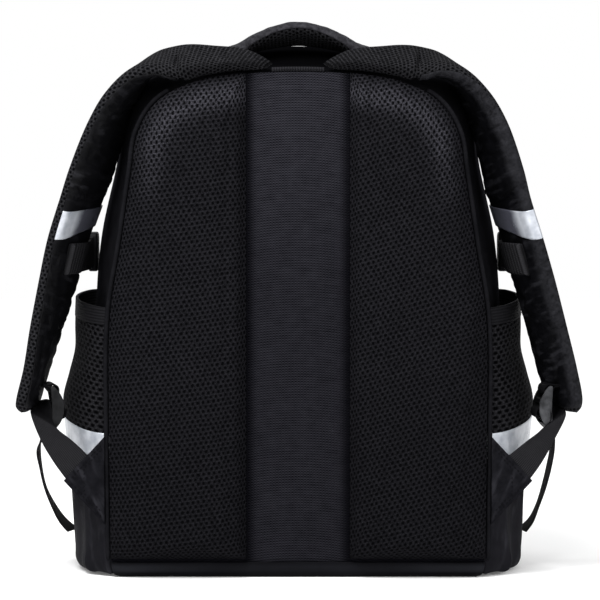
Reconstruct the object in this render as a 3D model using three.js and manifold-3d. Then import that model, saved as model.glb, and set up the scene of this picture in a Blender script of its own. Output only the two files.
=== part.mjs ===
// A school backpack: a hollow zipped body, two mesh back pads, padded shoulder straps with their
// webbing and buckles, a carry handle and two mesh side pockets.
// Millimetres, +Z up. The carrying side faces -Y, and the base rests on z = 0.
import * as THREE from "three";
import { mergeVertices } from "three/addons/utils/BufferGeometryUtils.js";
import Module from "manifold-3d";

const wasm = await Module();
wasm.setup();

// Driving sizes of the body
const GAP = 0.4; // between sewn pieces
const CLOTH = 2.2; // body walls
const BACK_Y = -80; // back seam
const GUIDE_FRONT_Y = 70; // third guide section of the body
const ZIP_BACK_Y = 40;
const ZIP_FRONT_Y = 56;
const BASE_HEIGHT = 12; // the upper pieces stand on the rim of the base
const SEAM_Z = BASE_HEIGHT + GAP;
const PANEL_BACK_Y = -83.2; // outer face of the back panel
const PANEL_THICKNESS = 2.8;
const AROUND = 32; // steps from one lower corner over the top to the other
const GUSSET_STEPS = 5; // from the back seam to the zip

// Half outline of the back seam from the base to the crown, with how far the fullest section
// and the front guide stand out sideways and up from it.
const BODY_ROWS = [
  { x: 142, z: SEAM_Z, fullOut: 8, fullUp: 0, frontOut: 4, frontUp: 0 },
  { x: 143, z: 110, fullOut: 14, fullUp: 0, frontOut: 7, frontUp: 0 },
  { x: 142, z: 200, fullOut: 16, fullUp: 2, frontOut: 9, frontUp: 0 },
  { x: 133.5, z: 255, fullOut: 20, fullUp: 4, frontOut: 12, frontUp: 2 },
  { x: 125.5, z: 309, fullOut: 16, fullUp: 6, frontOut: 9, frontUp: 3 },
  { x: 120.5, z: 339, fullOut: 14, fullUp: 8, frontOut: 6, frontUp: 4 },
  { x: 106, z: 362, fullOut: 13, fullUp: 14, frontOut: 4, frontUp: 6 },
  { x: 78, z: 377, fullOut: 6, fullUp: 16, frontOut: 0, frontUp: 7 },
  { x: 40, z: 383.5, fullOut: 0, fullUp: 15.5, frontOut: 0, frontUp: 6 },
  { x: 0, z: 385.5, fullOut: 0, fullUp: 16.5, frontOut: 0, frontUp: 6 },
];

// Front panel: each ring is the zip line drawn in towards the middle of the base.
const FRONT_ROWS = [
  { scale: 1, y: ZIP_FRONT_Y + GAP },
  { scale: 0.985, y: 68 },
  { scale: 0.95, y: 77 },
  { scale: 0.88, y: 83 },
  { scale: 0.75, y: 86 },
  { scale: 0.4, y: 89 },
  { scale: 0, y: 90 },
];
const FRONT_REACH = 146; // distance that a scale of 1 stands for

// Zip: cloth on both sides of a raised coil
const ZIP_ROWS = [
  { y: ZIP_BACK_Y + GAP, lift: 0 },
  { y: 45.5, lift: 0 },
  { y: 46.5, lift: 1.8 },
  { y: 49.5, lift: 1.8 },
  { y: 50.5, lift: 0 },
  { y: ZIP_FRONT_Y, lift: 0 },
];
const ZIP_END = 0.17; // share of the way round where the coil starts and ends
// Slider and pull of the closed zip, from its place on the top outwards
const ZIP_SLIDER = { x: -4, length: 11, width: 8, lift: 2.4 };
const ZIP_PULL = { length: 26, width: 7, lift: 1.4 };
const ZIP_SLIDER_STEPS = 6;

// Base: a shallow tray with a rounded edge
const BASE_STEPS = { side: 6, back: 4 };
const BASE_ROWS = [
  { inset: 0, z: BASE_HEIGHT, inside: CLOTH, floor: BASE_HEIGHT },
  { inset: 0, z: 7, inside: CLOTH, floor: 7.6 },
  { inset: 1.6, z: 2.6, inside: 3.4, floor: 4.4 },
  { inset: 6, z: 0, inside: 7, floor: CLOTH },
];

// Back pads
const CHANNEL_HALF = 39.5; // half the bare channel between the pads
const PAD_BOTTOM = 14.5;
const PAD_SEAM = 2; // inside the back seam
const PAD_ROWS = [
  { inset: 0, lift: 0.8 },
  { inset: 1.2, lift: 6 },
  { inset: 5, lift: 10.5 },
  { inset: 12, lift: 13 },
  { inset: 24, lift: 14.2 },
];
const PAD_CROWN = 15;
const PAD_STEPS = { outer: 16, inner: 6, bottom: 3 };

// Piping and binding of the back seam
const PIPING_RADIUS = 2.1;
const PIPING_OUT = 2.7; // bead centre outside the seam
const PIPING_END = 0.355; // share of the way round where the strap root covers the bead
const PIPING_STEPS = { points: 14, along: 26, quarter: 4 };
const BINDING = { half: 17, height: 2.6, lift: 0.7, frontY: -79, steps: 6 };

// Shoulder straps: the near and far edges, out from the middle, in depth and in height. The first
// rows are the root sewn along the top seam, the next the bend over the shoulder.
const STRAP_SHOULDER = [
  { nearOut: 26, nearY: -82, nearZ: 386.8, farOut: 20, farY: -81, farZ: 390 },
  { nearOut: 50, nearY: -82.5, nearZ: 385.2, farOut: 40, farY: -80, farZ: 400.5 },
  { nearOut: 74, nearY: -84.5, nearZ: 381, farOut: 66, farY: -78, farZ: 403 },
  { nearOut: 93, nearY: -89, nearZ: 380, farOut: 89, farY: -66, farZ: 402.5 },
  { nearOut: 109, nearY: -92, nearZ: 385, farOut: 105, farY: -50, farZ: 398 },
  { nearOut: 126.5, nearY: -93.5, nearZ: 381, farOut: 116, farY: -40, farZ: 388.5 },
  { nearOut: 143, nearY: -94, nearZ: 366.5, farOut: 126.5, farY: -36, farZ: 370.5 },
  { nearOut: 156, nearY: -94, nearZ: 345.5, farOut: 135, farY: -35, farZ: 348.5 },
];
const STRAP_ROWS = {
  left: [
    ...STRAP_SHOULDER,
    { nearOut: 170.5, nearY: -92.5, nearZ: 311, farOut: 145.5, farY: -34, farZ: 311 },
    { nearOut: 177.5, nearY: -91.5, nearZ: 289, farOut: 154, farY: -33.5, farZ: 288 },
    { nearOut: 187, nearY: -91, nearZ: 258, farOut: 165, farY: -33, farZ: 258 },
    { nearOut: 193.4, nearY: -91, nearZ: 227, farOut: 174.5, farY: -33, farZ: 227 },
    { nearOut: 200.2, nearY: -90.5, nearZ: 189, farOut: 187, farY: -33.5, farZ: 189 },
    { nearOut: 204.6, nearY: -90, nearZ: 158, farOut: 198, farY: -34, farZ: 158 },
    { nearOut: 209.8, nearY: -88, nearZ: 136, farOut: 205, farY: -36, farZ: 136 },
    { nearOut: 211, nearY: -79, nearZ: 126, farOut: 208.5, farY: -45, farZ: 126 },
  ],
  right: [
    ...STRAP_SHOULDER,
    { nearOut: 168.5, nearY: -92.5, nearZ: 311, farOut: 144, farY: -34, farZ: 311 },
    { nearOut: 174, nearY: -91.5, nearZ: 289, farOut: 150.5, farY: -33.5, farZ: 288 },
    { nearOut: 183.8, nearY: -90.5, nearZ: 258, farOut: 160, farY: -33.5, farZ: 258 },
    { nearOut: 192.8, nearY: -90, nearZ: 227, farOut: 168.5, farY: -34, farZ: 227 },
    { nearOut: 202.6, nearY: -89, nearZ: 189, farOut: 179, farY: -35, farZ: 189 },
    { nearOut: 210.2, nearY: -88, nearZ: 158, farOut: 187.5, farY: -36, farZ: 158 },
    { nearOut: 214, nearY: -87, nearZ: 136, farOut: 194.5, farY: -37, farZ: 136 },
    { nearOut: 212.5, nearY: -79, nearZ: 126, farOut: 199.5, farY: -46, farZ: 126 },
  ],
};
const STRAP_HALF = 5.8; // half the thickness in the middle
const STRAP_EDGE = 2.2; // half the thickness at the bound edges
const STRAP_STEPS = 26;
const STRAP_ACROSS = 6;

// Reflective tape across the nylon face, as shares of the strap's length and half width
const TAPE = { start: 0.615, end: 0.655, halfSpan: 0.96, lift: 0.6, thickness: 0.7 };
const TAPE_STEPS = 3;

// Chest strap: webbing from the nylon face to the side of the body, then its buckle half
const CHEST = { topAt: 0.668, bottomAt: 0.7213, z: 245, width: 25, thickness: 1.6 };
const CHEST_ON_STRAP = [-0.45, 0.1, 0.6, 1]; // across the nylon face
const CHEST_FREE = [
  { out: 163, y: -24 },
  { out: 161.6, y: -6 },
  { out: 161.8, y: 12 },
];
const CHEST_STEPS = 12;
const CHEST_BUCKLE = { length: 26, width: 31, thickness: 8, corner: 4, bevel: 1 };

// Carry handle: half of its near and far edges from the foot to the crest
const HANDLE_NEAR_Y = -69;
const HANDLE_FAR_Y = -40;
const HANDLE_FOOT_X = 70;
const HANDLE_FOOT_CLEAR = 3; // the top is crowned between the edges of the foot
const HANDLE_ROWS = [
  { x: 68.5, nearZ: 390.5, farZ: 397 },
  { x: 60, nearZ: 396.5, farZ: 401.5 },
  { x: 46, nearZ: 403.5, farZ: 404.5 },
  { x: 25, nearZ: 414, farZ: 408 },
  { x: 0, nearZ: 420.5, farZ: 412 },
];
const HANDLE_HALF = 5;
const HANDLE_EDGE = 2.4;
const HANDLE_STEPS = 24;
const HANDLE_ACROSS = 4;

// Side pockets: how far the wall stands out at each height, from the floor up, with the height at
// which the same row meets the seams, and the bands that the wall is sewn from
const POCKET_CLOTH = 1.5;
const POCKET_BACK_Y = -77.5;
const POCKET_FRONT_Y = 33;
// The rows climb towards the front, most of all the silver strip
const POCKET_RISE = { low: 20, strip: 95, top: 190, atStrip: 22, atMouth: 9 };
const POCKET_ROWS = [
  { z: 4.4, out: 0, seamZ: 2.5 },
  { z: 2.8, out: 10, seamZ: 5 },
  { z: 3.4, out: 19, seamZ: 8 },
  { z: 8, out: 22.5, seamZ: 12 },
  { z: 20, out: 22.5, seamZ: 20 },
  { z: 60, out: 21.5, seamZ: 60 },
  { z: 100, out: 23.5, seamZ: 100 },
  { z: 122, out: 24.5, seamZ: 122 },
  { z: 143, out: 19.5, seamZ: 143 },
  { z: 165, out: 14.5, seamZ: 165 },
  { z: 185, out: 14.5, seamZ: 185 },
  { z: 206, out: 14.5, seamZ: 206 },
];
const POCKET_BANDS = [
  { name: "pocket_lower", from: 0, to: 0.525, steps: 9, slot: "nylon" },
  { name: "pocket_tape", from: 0.525, to: 0.58, steps: 1, slot: "reflective" },
  { name: "pocket_mesh", from: 0.58, to: 0.945, steps: 6, slot: "pocket_mesh" },
  { name: "pocket_band", from: 0.945, to: 1, steps: 1, slot: "webbing" },
];
const POCKET_AROUND = 10;
const POCKET_CLEAR = 0.6; // between the seams and the side of the body
const POCKET_TRIM = 0.0022; // share of the height left open between one band and the next
const POCKET_STEP = 0.004; // share of the height, for the slope of the wall

// Strap anchors: folded triangles sewn into the back seam
const ANCHOR = { inner: 148.6, top: 108, bottom: 41, tip: 178.5, tipZ: 74.5, thickness: 2.6 };
const ANCHOR_FRONT_Y = -84.6;

// Webbing and adjuster buckles
const WEBBING_WIDTH = 25;
const WEBBING_HALF = 0.75;
const WEBBING_STEPS = 50;
const SEWN_IN = 1.5; // from the tip of the anchor to the webbing
const LOCK = { width: 32, half: 17, thickness: 4.5, bulge: 7, window: 26.4, cutDepth: 60 };
const LOCK_WINDOWS = [
  { from: 7, to: 12 },
  { from: -2, to: 3.5 },
  { from: -11.5, to: -6 },
];
const LOCK_PLACE = {
  left: { out: 190.5, y: -62, z: 129, yaw: 12 },
  right: { out: 188, y: -62, z: 129, yaw: 20 },
};
// Webbing loop on the buckle: its eye round the top bar and the neck above it
const LOOP_EYE = { front: -6.6, back: 3, bottom: 8.9, side: 11.9, shoulder: 18, narrow: -3.4, apex: 22 };
const LOOP_NECK = { front: -0.1, back: 2.5, bottom: 24, top: 27 };
const LOOP_CLOTH = 1.3;
// Route of the webbing in the buckle: depth behind it and height on it
const LOCK_ROUTE = [
  { back: 3.8, z: -20 },
  { back: 3.2, z: -13.2 },
  { back: -1.5, z: -10 },
  { back: -6, z: -8.6 },
  { back: -10.2, z: -6.5 },
  { back: -10.8, z: -4 },
  { back: -10.2, z: -1.5 },
  { back: -6.5, z: 0.8 },
  { back: -2, z: 1.2 },
  { back: 2.5, z: -1 },
  { back: 4.6, z: -7 },
  { back: 6.2, z: -13 },
  { back: 8, z: -19 },
];
// Free tail below the buckle: centre, and how far its far edge turns inwards
const TAIL_ROWS = {
  left: [
    { out: 200, y: -50, z: 96, turn: 1 },
    { out: 199, y: -42, z: 80, turn: -2 },
    { out: 196.5, y: -32, z: 64, turn: -3 },
    { out: 191.5, y: -16, z: 48, turn: 1 },
    { out: 185.5, y: 2, z: 34, turn: 8 },
    { out: 178.5, y: 18, z: 24, turn: 16 },
  ],
  right: [
    { out: 196, y: -50, z: 96, turn: 3 },
    { out: 194, y: -42, z: 80, turn: 3 },
    { out: 191, y: -32, z: 64, turn: 2 },
    { out: 187.5, y: -16, z: 48, turn: 0 },
    { out: 183.5, y: 2, z: 34, turn: 4 },
    { out: 177.5, y: 18, z: 24, turn: 12 },
  ],
};

const SIDES = { left: -1, right: 1 };

// Small steps and limits
const SHARE_STEP = 0.002; // for directions along a curve
const HALVINGS = 40; // of a search
const TOUCHING = 1e-6;
const WELD = 1e-4;

// Turns a profile so that its first axis is depth, its second height and its third width.
const UPRIGHT = new THREE.Matrix4().makeBasis(
  new THREE.Vector3(0, 1, 0),
  new THREE.Vector3(0, 0, 1),
  new THREE.Vector3(1, 0, 0),
);

// Finishes of the cloth, trim and buckles
const FINISHES = {
  back_weave: { color: 0x2a2b2f, roughness: 0.85 },
  pad_mesh: { color: 0x1b1b1d, roughness: 0.95 },
  pocket_mesh: { color: 0x141416, roughness: 0.95 },
  nylon: { color: 0x101012, roughness: 0.6 },
  coated: { color: 0x18181a, roughness: 0.4 },
  webbing: { color: 0x151517, roughness: 0.8 },
  reflective: { color: 0xb4bac4, roughness: 0.3 },
  plastic: { color: 0x3a3b3e, roughness: 0.45 },
};

const backpack = new THREE.Group();
backpack.name = "backpack";

function addPiece(name, slot, geometry, parent = backpack) {
  const mesh = new THREE.Mesh(geometry, new THREE.MeshStandardMaterial(FINISHES[slot]));
  mesh.name = name;
  parent.add(mesh);
  return mesh;
}

// Evenly spaced numbers from one end to the other, both included.
function spaced(from, to, steps) {
  return Array.from({ length: steps + 1 }, (_, k) => from + ((to - from) * k) / steps);
}

// Signed volume enclosed by a list of triangles.
function volumeOf(points, index) {
  let sum = 0;
  for (let k = 0; k < index.length; k += 3) {
    const [a, b, c] = [points[index[k]], points[index[k + 1]], points[index[k + 2]]];
    sum += a.dot(b.clone().cross(c));
  }
  return sum / 6;
}

// The closed solid between two matching grids of points, its outer and inner faces. A looped grid
// joins its last row to its first.
function wall(outer, inner, looped = false) {
  const rows = outer.length;
  const columns = outer[0].length;
  const points = [...outer.flat(), ...inner.flat()];
  const at = (layer, row, column) => (layer * rows + (row % rows)) * columns + column;
  const index = [];
  const triangle = (a, b, c) => {
    const corners = [points[a], points[b], points[c]];
    const sides = corners.map((corner, k) => corner.distanceTo(corners[(k + 1) % 3]));
    if (Math.min(...sides) > TOUCHING) index.push(a, b, c);
  };
  const quad = (a, b, c, d) => {
    triangle(a, b, c);
    triangle(a, c, d);
  };
  const lastRow = looped ? rows : rows - 1;
  for (let row = 0; row < lastRow; row++) {
    for (let column = 0; column < columns - 1; column++) {
      quad(at(0, row, column), at(0, row, column + 1), at(0, row + 1, column + 1), at(0, row + 1, column));
      quad(at(1, row, column), at(1, row + 1, column), at(1, row + 1, column + 1), at(1, row, column + 1));
    }
    const end = columns - 1;
    quad(at(0, row, 0), at(0, row + 1, 0), at(1, row + 1, 0), at(1, row, 0));
    quad(at(0, row, end), at(1, row, end), at(1, row + 1, end), at(0, row + 1, end));
  }
  for (let column = 0; column < columns - 1 && !looped; column++) {
    const end = rows - 1;
    quad(at(0, 0, column), at(1, 0, column), at(1, 0, column + 1), at(0, 0, column + 1));
    quad(at(0, end, column), at(0, end, column + 1), at(1, end, column + 1), at(1, end, column));
  }
  if (volumeOf(points, index) < 0) index.reverse();
  return new THREE.BufferGeometry().setFromPoints(points).setIndex(index);
}

// The manifold solid of a closed geometry, for cutting.
function solidOf(geometry) {
  const bare = geometry.clone();
  bare.deleteAttribute("normal");
  bare.deleteAttribute("uv");
  const merged = mergeVertices(bare, WELD);
  return new wasm.Manifold(
    new wasm.Mesh({
      numProp: 3,
      vertProperties: merged.attributes.position.array,
      triVerts: new Uint32Array(merged.index.array),
    }),
  );
}

// A geometry with others cut out of it.
function cut(geometry, cutters) {
  const remaining = cutters.reduce((left, cutter) => left.subtract(solidOf(cutter)), solidOf(geometry));
  const mesh = remaining.getMesh();
  const made = new THREE.BufferGeometry();
  made.setAttribute("position", new THREE.BufferAttribute(mesh.vertProperties, mesh.numProp));
  made.setIndex(new THREE.BufferAttribute(mesh.triVerts, 1));
  return made;
}

// Guide curve over the body, from the left lower corner to the right one.
function guide(outOf, upOf) {
  const half = BODY_ROWS.map((row) => new THREE.Vector3(row.x + outOf(row), 0, row.z + upOf(row)));
  const mirrored = half.slice(0, -1).map((point) => new THREE.Vector3(-point.x, 0, point.z));
  return new THREE.CatmullRomCurve3([...mirrored, ...half.reverse()]);
}

const GUIDES = [
  guide(() => 0, () => 0),
  guide((row) => row.fullOut, (row) => row.fullUp),
  guide((row) => row.frontOut, (row) => row.frontUp),
];

// A point of the body's outer face: `share` of the way round, at depth y, on the parabola through
// the back, fullest and front guides.
function bodyPoint(share, y) {
  const s = (y - BACK_Y) / (GUIDE_FRONT_Y - BACK_Y);
  const weights = [2 * (s - 0.5) * (s - 1), 4 * s * (1 - s), 2 * s * (s - 0.5)];
  const point = new THREE.Vector3();
  GUIDES.forEach((curve, k) => point.addScaledVector(curve.getPoint(share), weights[k]));
  return point.setY(y);
}

// The direction into the body at that point, in the plane of the outline.
function bodyInward(share, y) {
  const ahead = bodyPoint(Math.min(share + SHARE_STEP, 1), y);
  const along = ahead.sub(bodyPoint(Math.max(share - SHARE_STEP, 0), y)).normalize();
  return new THREE.Vector3(along.z, 0, -along.x);
}

const bodyOffset = (share, y, inset) => bodyPoint(share, y).addScaledVector(bodyInward(share, y), inset);

// The share of the way round, in the left half, where `value` of the body point reaches a target.
function shareWhere(y, value, target) {
  let low = 0;
  let high = 0.5;
  for (let k = 0; k < HALVINGS; k++) {
    const middle = (low + high) / 2;
    if (value(bodyPoint(middle, y)) < target) low = middle;
    else high = middle;
  }
  return low;
}

const shareAtHeight = (z, y) => shareWhere(y, (point) => point.z, z);
const shareAtX = (x, y) => shareWhere(y, (point) => point.x, x);
const topHeight = (x, y) => bodyPoint(shareAtX(-Math.abs(x), y), y).z;
const sideOut = (z, y) => -bodyPoint(shareAtHeight(Math.max(z, SEAM_Z), y), y).x;

// Body: side and top band, front, zip, base and back panel
function addBody() {
  const shares = spaced(0, 1, AROUND);
  const depths = spaced(BACK_Y, ZIP_BACK_Y, GUSSET_STEPS);
  const side = (inset) => shares.map((s) => depths.map((y) => bodyOffset(s, y, inset)));
  addPiece("side_gusset", "nylon", wall(side(0), side(CLOTH)));

  const coil = (share) => (Math.min(share, 1 - share) > ZIP_END ? 1 : 0);
  const zipFace = shares.map((s) => ZIP_ROWS.map((row) => bodyOffset(s, row.y, -row.lift * coil(s))));
  const zipBack = shares.map((s) => ZIP_ROWS.map((row) => bodyOffset(s, row.y, CLOTH)));
  addPiece("zip_tape", "webbing", wall(zipFace, zipBack));

  const ring = (share, scale, y) => {
    const rim = bodyPoint(share, ZIP_FRONT_Y);
    return new THREE.Vector3(rim.x * scale, y, SEAM_Z + (rim.z - SEAM_Z) * scale);
  };
  const inside = FRONT_ROWS.map((row, k) => {
    const before = FRONT_ROWS[Math.max(k - 1, 0)];
    const after = FRONT_ROWS[Math.min(k + 1, FRONT_ROWS.length - 1)];
    const along = new THREE.Vector2((after.scale - before.scale) * FRONT_REACH, after.y - before.y);
    along.setLength(CLOTH);
    return { scale: Math.max(row.scale - along.y / FRONT_REACH, 0), y: row.y + along.x };
  });
  inside[0].y = FRONT_ROWS[0].y;
  const front = (rows) => shares.map((s) => rows.map((row) => ring(s, row.scale, row.y)));
  addPiece("front_panel", "nylon", wall(front(FRONT_ROWS), front(inside)));

  const middle = new THREE.Vector3(0, 0, SEAM_Z);
  const panelFace = (y) => shares.map((s) => [bodyPoint(s, BACK_Y).setY(y), middle.clone().setY(y)]);
  const panel = wall(panelFace(PANEL_BACK_Y), panelFace(PANEL_BACK_Y + PANEL_THICKNESS));
  addPiece("back_panel", "back_weave", panel);

  const leftEdge = [
    ...spaced(PANEL_BACK_Y, ZIP_FRONT_Y, BASE_STEPS.side).map((y) => ({
      x: bodyPoint(0, Math.max(y, BACK_Y)).x,
      y,
    })),
    ...FRONT_ROWS.slice(1).map((row) => ({ x: bodyPoint(0, ZIP_FRONT_Y).x * row.scale, y: row.y })),
  ];
  const rightEdge = leftEdge.slice(0, -1).map(({ x, y }) => ({ x: -x, y }));
  const backEdge = spaced(leftEdge[0].x, -leftEdge[0].x, BASE_STEPS.back)
    .slice(1, -1)
    .map((x) => ({ x, y: PANEL_BACK_Y }));
  const plan = [...leftEdge, ...rightEdge.reverse(), ...backEdge.reverse()];
  const trayRing = ({ x, y }, inset, z) => {
    const shrink = 1 - inset / -PANEL_BACK_Y;
    return new THREE.Vector3(x - Math.sign(x) * Math.min(inset, Math.abs(x)), y * shrink, z);
  };
  const tray = (insetOf, heightOf, floor) =>
    plan.map((point) => [
      ...BASE_ROWS.map((row) => trayRing(point, insetOf(row), heightOf(row))),
      new THREE.Vector3(0, 0, floor),
    ]);
  const outside = tray((row) => row.inset, (row) => row.z, 0);
  const lining = tray((row) => row.inside, (row) => row.floor, CLOTH);
  addPiece("base_panel", "coated", wall(outside, lining, true));
}

// Slider of the closed zip: a block with a flat pull lying beside it
function addZipSlider() {
  const y = (ZIP_ROWS[2].y + ZIP_ROWS[3].y) / 2;
  const under = ZIP_ROWS[2].lift + GAP;
  const distances = spaced(0, ZIP_SLIDER.length + ZIP_PULL.length, ZIP_SLIDER_STEPS);
  const row = (distance, lifted) => {
    const size = distance > ZIP_SLIDER.length ? ZIP_PULL : ZIP_SLIDER;
    const share = shareAtX(ZIP_SLIDER.x - distance, y);
    const lift = under + (lifted ? size.lift : 0);
    return [-1, 1].map((edge) => bodyOffset(share, y + (edge * size.width) / 2, -lift));
  };
  const [face, back] = [true, false].map((lifted) => distances.map((distance) => row(distance, lifted)));
  addPiece("zip_slider", "plastic", wall(face, back));
}

// Back pads: a crowned form on a flat back, drawn in from the loop of its seam
function addBackPads() {
  const seamInset = (share) => bodyOffset(share, BACK_Y, PAD_SEAM);
  const topShare = shareAtX(-CHANNEL_HALF, BACK_Y);
  const bottomShare = shareAtHeight(PAD_BOTTOM, BACK_Y);
  const outerEdge = spaced(bottomShare, topShare, PAD_STEPS.outer).map((share) => seamInset(share));
  const innerTop = outerEdge[outerEdge.length - 1].z;
  const innerEdge = spaced(innerTop, PAD_BOTTOM, PAD_STEPS.inner)
    .slice(1)
    .map((z) => new THREE.Vector3(-CHANNEL_HALF, 0, z));
  const bottomEdge = spaced(-CHANNEL_HALF, outerEdge[0].x, PAD_STEPS.bottom)
    .slice(1, -1)
    .map((x) => new THREE.Vector3(x, 0, PAD_BOTTOM));
  const loop = [...outerEdge, ...innerEdge, ...bottomEdge];
  const centre = loop.reduce((sum, point) => sum.add(point), new THREE.Vector3()).divideScalar(loop.length);
  const inwards = loop.map((_, k) => {
    const along = loop[(k + 1) % loop.length].clone().sub(loop[(k + loop.length - 1) % loop.length]);
    return new THREE.Vector3(along.z, 0, -along.x).normalize();
  });
  const base = PANEL_BACK_Y - GAP;
  for (const [side, sign] of Object.entries(SIDES)) {
    const place = (point, inset, k, lift) => {
      const moved = point.clone().addScaledVector(inwards[k], inset);
      return new THREE.Vector3(-sign * moved.x, base - lift, moved.z);
    };
    const pole = (lift) => new THREE.Vector3(-sign * centre.x, base - lift, centre.z);
    const crown = loop.map((p, k) => [...PAD_ROWS.map((r) => place(p, r.inset, k, r.lift)), pole(PAD_CROWN)]);
    const flat = loop.map((p, k) => [...PAD_ROWS.map((r) => place(p, r.inset, k, 0)), pole(0)]);
    addPiece(`back_pad_${side}`, "pad_mesh", wall(crown, flat, true));
  }
}

// Piping bead along the sides of the back seam, and the bound seam between the strap roots
function addSeamTrim() {
  const bead = new THREE.Shape().absarc(0, 0, PIPING_RADIUS, 0, 2 * Math.PI);
  for (const [side, sign] of Object.entries(SIDES)) {
    const route = spaced(0, PIPING_END, PIPING_STEPS.points).map((share) => {
      const point = bodyOffset(share, BACK_Y, -PIPING_OUT);
      return new THREE.Vector3(-sign * point.x, (PANEL_BACK_Y + BACK_Y) / 2, point.z);
    });
    const extrudePath = new THREE.CatmullRomCurve3(route);
    const { along: steps, quarter: curveSegments } = PIPING_STEPS;
    const settings = { extrudePath, steps, curveSegments, bevelEnabled: false };
    addPiece(`piping_${side}`, "nylon", new THREE.ExtrudeGeometry(bead, settings));
  }
  const start = shareAtX(-BINDING.half, BACK_Y);
  const row = (share, lift) =>
    [PANEL_BACK_Y, BINDING.frontY].map((y) => bodyOffset(share, BACK_Y, -lift).setY(y));
  const face = (lift) => spaced(start, 1 - start, BINDING.steps).map((share) => row(share, lift));
  addPiece("top_binding", "webbing", wall(face(BINDING.lift + BINDING.height), face(BINDING.lift)));
}

// A band between two edge curves. `half` gives half its thickness across it, from -1 at the near
// edge to 1 at the far one. Its outer face lies on the side that `facing` points to.
function band(near, far, steps, across, half, facing = 1) {
  const nearCurve = new THREE.CatmullRomCurve3(near);
  const farCurve = new THREE.CatmullRomCurve3(far);
  const middle = (share) => nearCurve.getPoint(share).lerp(farCurve.getPoint(share), 0.5);
  const normalAt = (share) => {
    const along = middle(Math.min(share + SHARE_STEP, 1)).sub(middle(Math.max(share - SHARE_STEP, 0)));
    const width = farCurve.getPoint(share).sub(nearCurve.getPoint(share));
    return along.cross(width).normalize().multiplyScalar(facing);
  };
  const point = (share, v, offset) =>
    nearCurve
      .getPoint(share)
      .lerp(farCurve.getPoint(share), (v + 1) / 2)
      .addScaledVector(normalAt(share), offset);
  const face = (sign) =>
    spaced(0, 1, steps).map((share) => spaced(-1, 1, across).map((v) => point(share, v, sign * half(v))));
  return { geometry: () => wall(face(1), face(-1)), point, half };
}

const strapHalf = (v) => STRAP_EDGE + (STRAP_HALF - STRAP_EDGE) * (1 - v ** 4);
const straps = {};

// Shoulder straps, with the reflective tape on the nylon face
function addStraps() {
  for (const [side, sign] of Object.entries(SIDES)) {
    const rows = STRAP_ROWS[side];
    const near = rows.map((row) => new THREE.Vector3(sign * row.nearOut, row.nearY, row.nearZ));
    const far = rows.map((row) => new THREE.Vector3(sign * row.farOut, row.farY, row.farZ));
    straps[side] = band(near, far, STRAP_STEPS, STRAP_ACROSS, strapHalf, sign);
    addPiece(`strap_${side}`, "pad_mesh", straps[side].geometry());

    const tapeFace = (lift) =>
      spaced(TAPE.start, TAPE.end, TAPE_STEPS).map((share) =>
        spaced(-TAPE.halfSpan, TAPE.halfSpan, STRAP_ACROSS).map((v) => nylonPoint(side, share, v, lift)),
      );
    const tape = wall(tapeFace(TAPE.lift + TAPE.thickness), tapeFace(TAPE.lift));
    addPiece(`strap_tape_${side}`, "reflective", tape);
  }
}

// A point above the nylon face of a strap.
function nylonPoint(side, share, v, lift) {
  return straps[side].point(share, v, -(strapHalf(v) + lift));
}

// Chest strap halves: webbing off the nylon face, and a plain buckle half on its end
function addChestStraps() {
  for (const [side, sign] of Object.entries(SIDES)) {
    const edge = (share, rise) => [
      ...CHEST_ON_STRAP.map((v) => nylonPoint(side, share, v, 2 * GAP + CHEST.thickness / 2)),
      ...CHEST_FREE.map((row) => new THREE.Vector3(sign * row.out, row.y, CHEST.z + rise)),
    ];
    const lower = edge(CHEST.bottomAt, -CHEST.width / 2);
    const upper = edge(CHEST.topAt, CHEST.width / 2);
    const strip = band(lower, upper, CHEST_STEPS, 1, () => CHEST.thickness / 2);
    addPiece(`chest_strap_${side}`, "webbing", strip.geometry());

    const { length, width, thickness, corner, bevel } = CHEST_BUCKLE;
    const outline = roundedRectangle(length, width, corner);
    const geometry = new THREE.ExtrudeGeometry(outline, {
      depth: thickness - 2 * bevel,
      bevelThickness: bevel,
      bevelSize: bevel,
      bevelOffset: -bevel,
      bevelSegments: 1,
      curveSegments: 3,
    });
    geometry.translate(0, 0, bevel - thickness / 2);
    geometry.applyMatrix4(UPRIGHT);
    const last = CHEST_FREE[CHEST_FREE.length - 1];
    const buckle = addPiece(`chest_buckle_${side}`, "plastic", geometry);
    buckle.position.set(sign * last.out, last.y + GAP + length / 2, CHEST.z);
  }
}

function roundedRectangle(length, width, corner) {
  const x = length / 2;
  const y = width / 2;
  return new THREE.Shape()
    .moveTo(-x + corner, -y)
    .lineTo(x - corner, -y)
    .quadraticCurveTo(x, -y, x, -y + corner)
    .lineTo(x, y - corner)
    .quadraticCurveTo(x, y, x - corner, y)
    .lineTo(-x + corner, y)
    .quadraticCurveTo(-x, y, -x, y - corner)
    .lineTo(-x, -y + corner)
    .quadraticCurveTo(-x, -y, -x + corner, -y);
}

// Carry handle: a padded arch whose feet stand on the top of the body
function addHandle() {
  const foot = { x: HANDLE_FOOT_X, nearZ: footHeight(HANDLE_NEAR_Y), farZ: footHeight(HANDLE_FAR_Y) };
  const half = [foot, ...HANDLE_ROWS];
  const whole = [...half.slice(0, -1).map((row) => ({ ...row, x: -row.x })), ...half.reverse()];
  const near = whole.map((row) => new THREE.Vector3(row.x, HANDLE_NEAR_Y, row.nearZ));
  const far = whole.map((row) => new THREE.Vector3(row.x, HANDLE_FAR_Y, row.farZ));
  const thickness = (v) => HANDLE_EDGE + (HANDLE_HALF - HANDLE_EDGE) * (1 - v ** 4);
  const arch = band(near, far, HANDLE_STEPS, HANDLE_ACROSS, thickness);
  addPiece("carry_handle", "pad_mesh", arch.geometry());
}

// The foot clears the highest point of the body under its thickness.
function footHeight(y) {
  return topHeight(HANDLE_FOOT_X - HANDLE_HALF, y) + HANDLE_FOOT_CLEAR;
}

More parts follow.
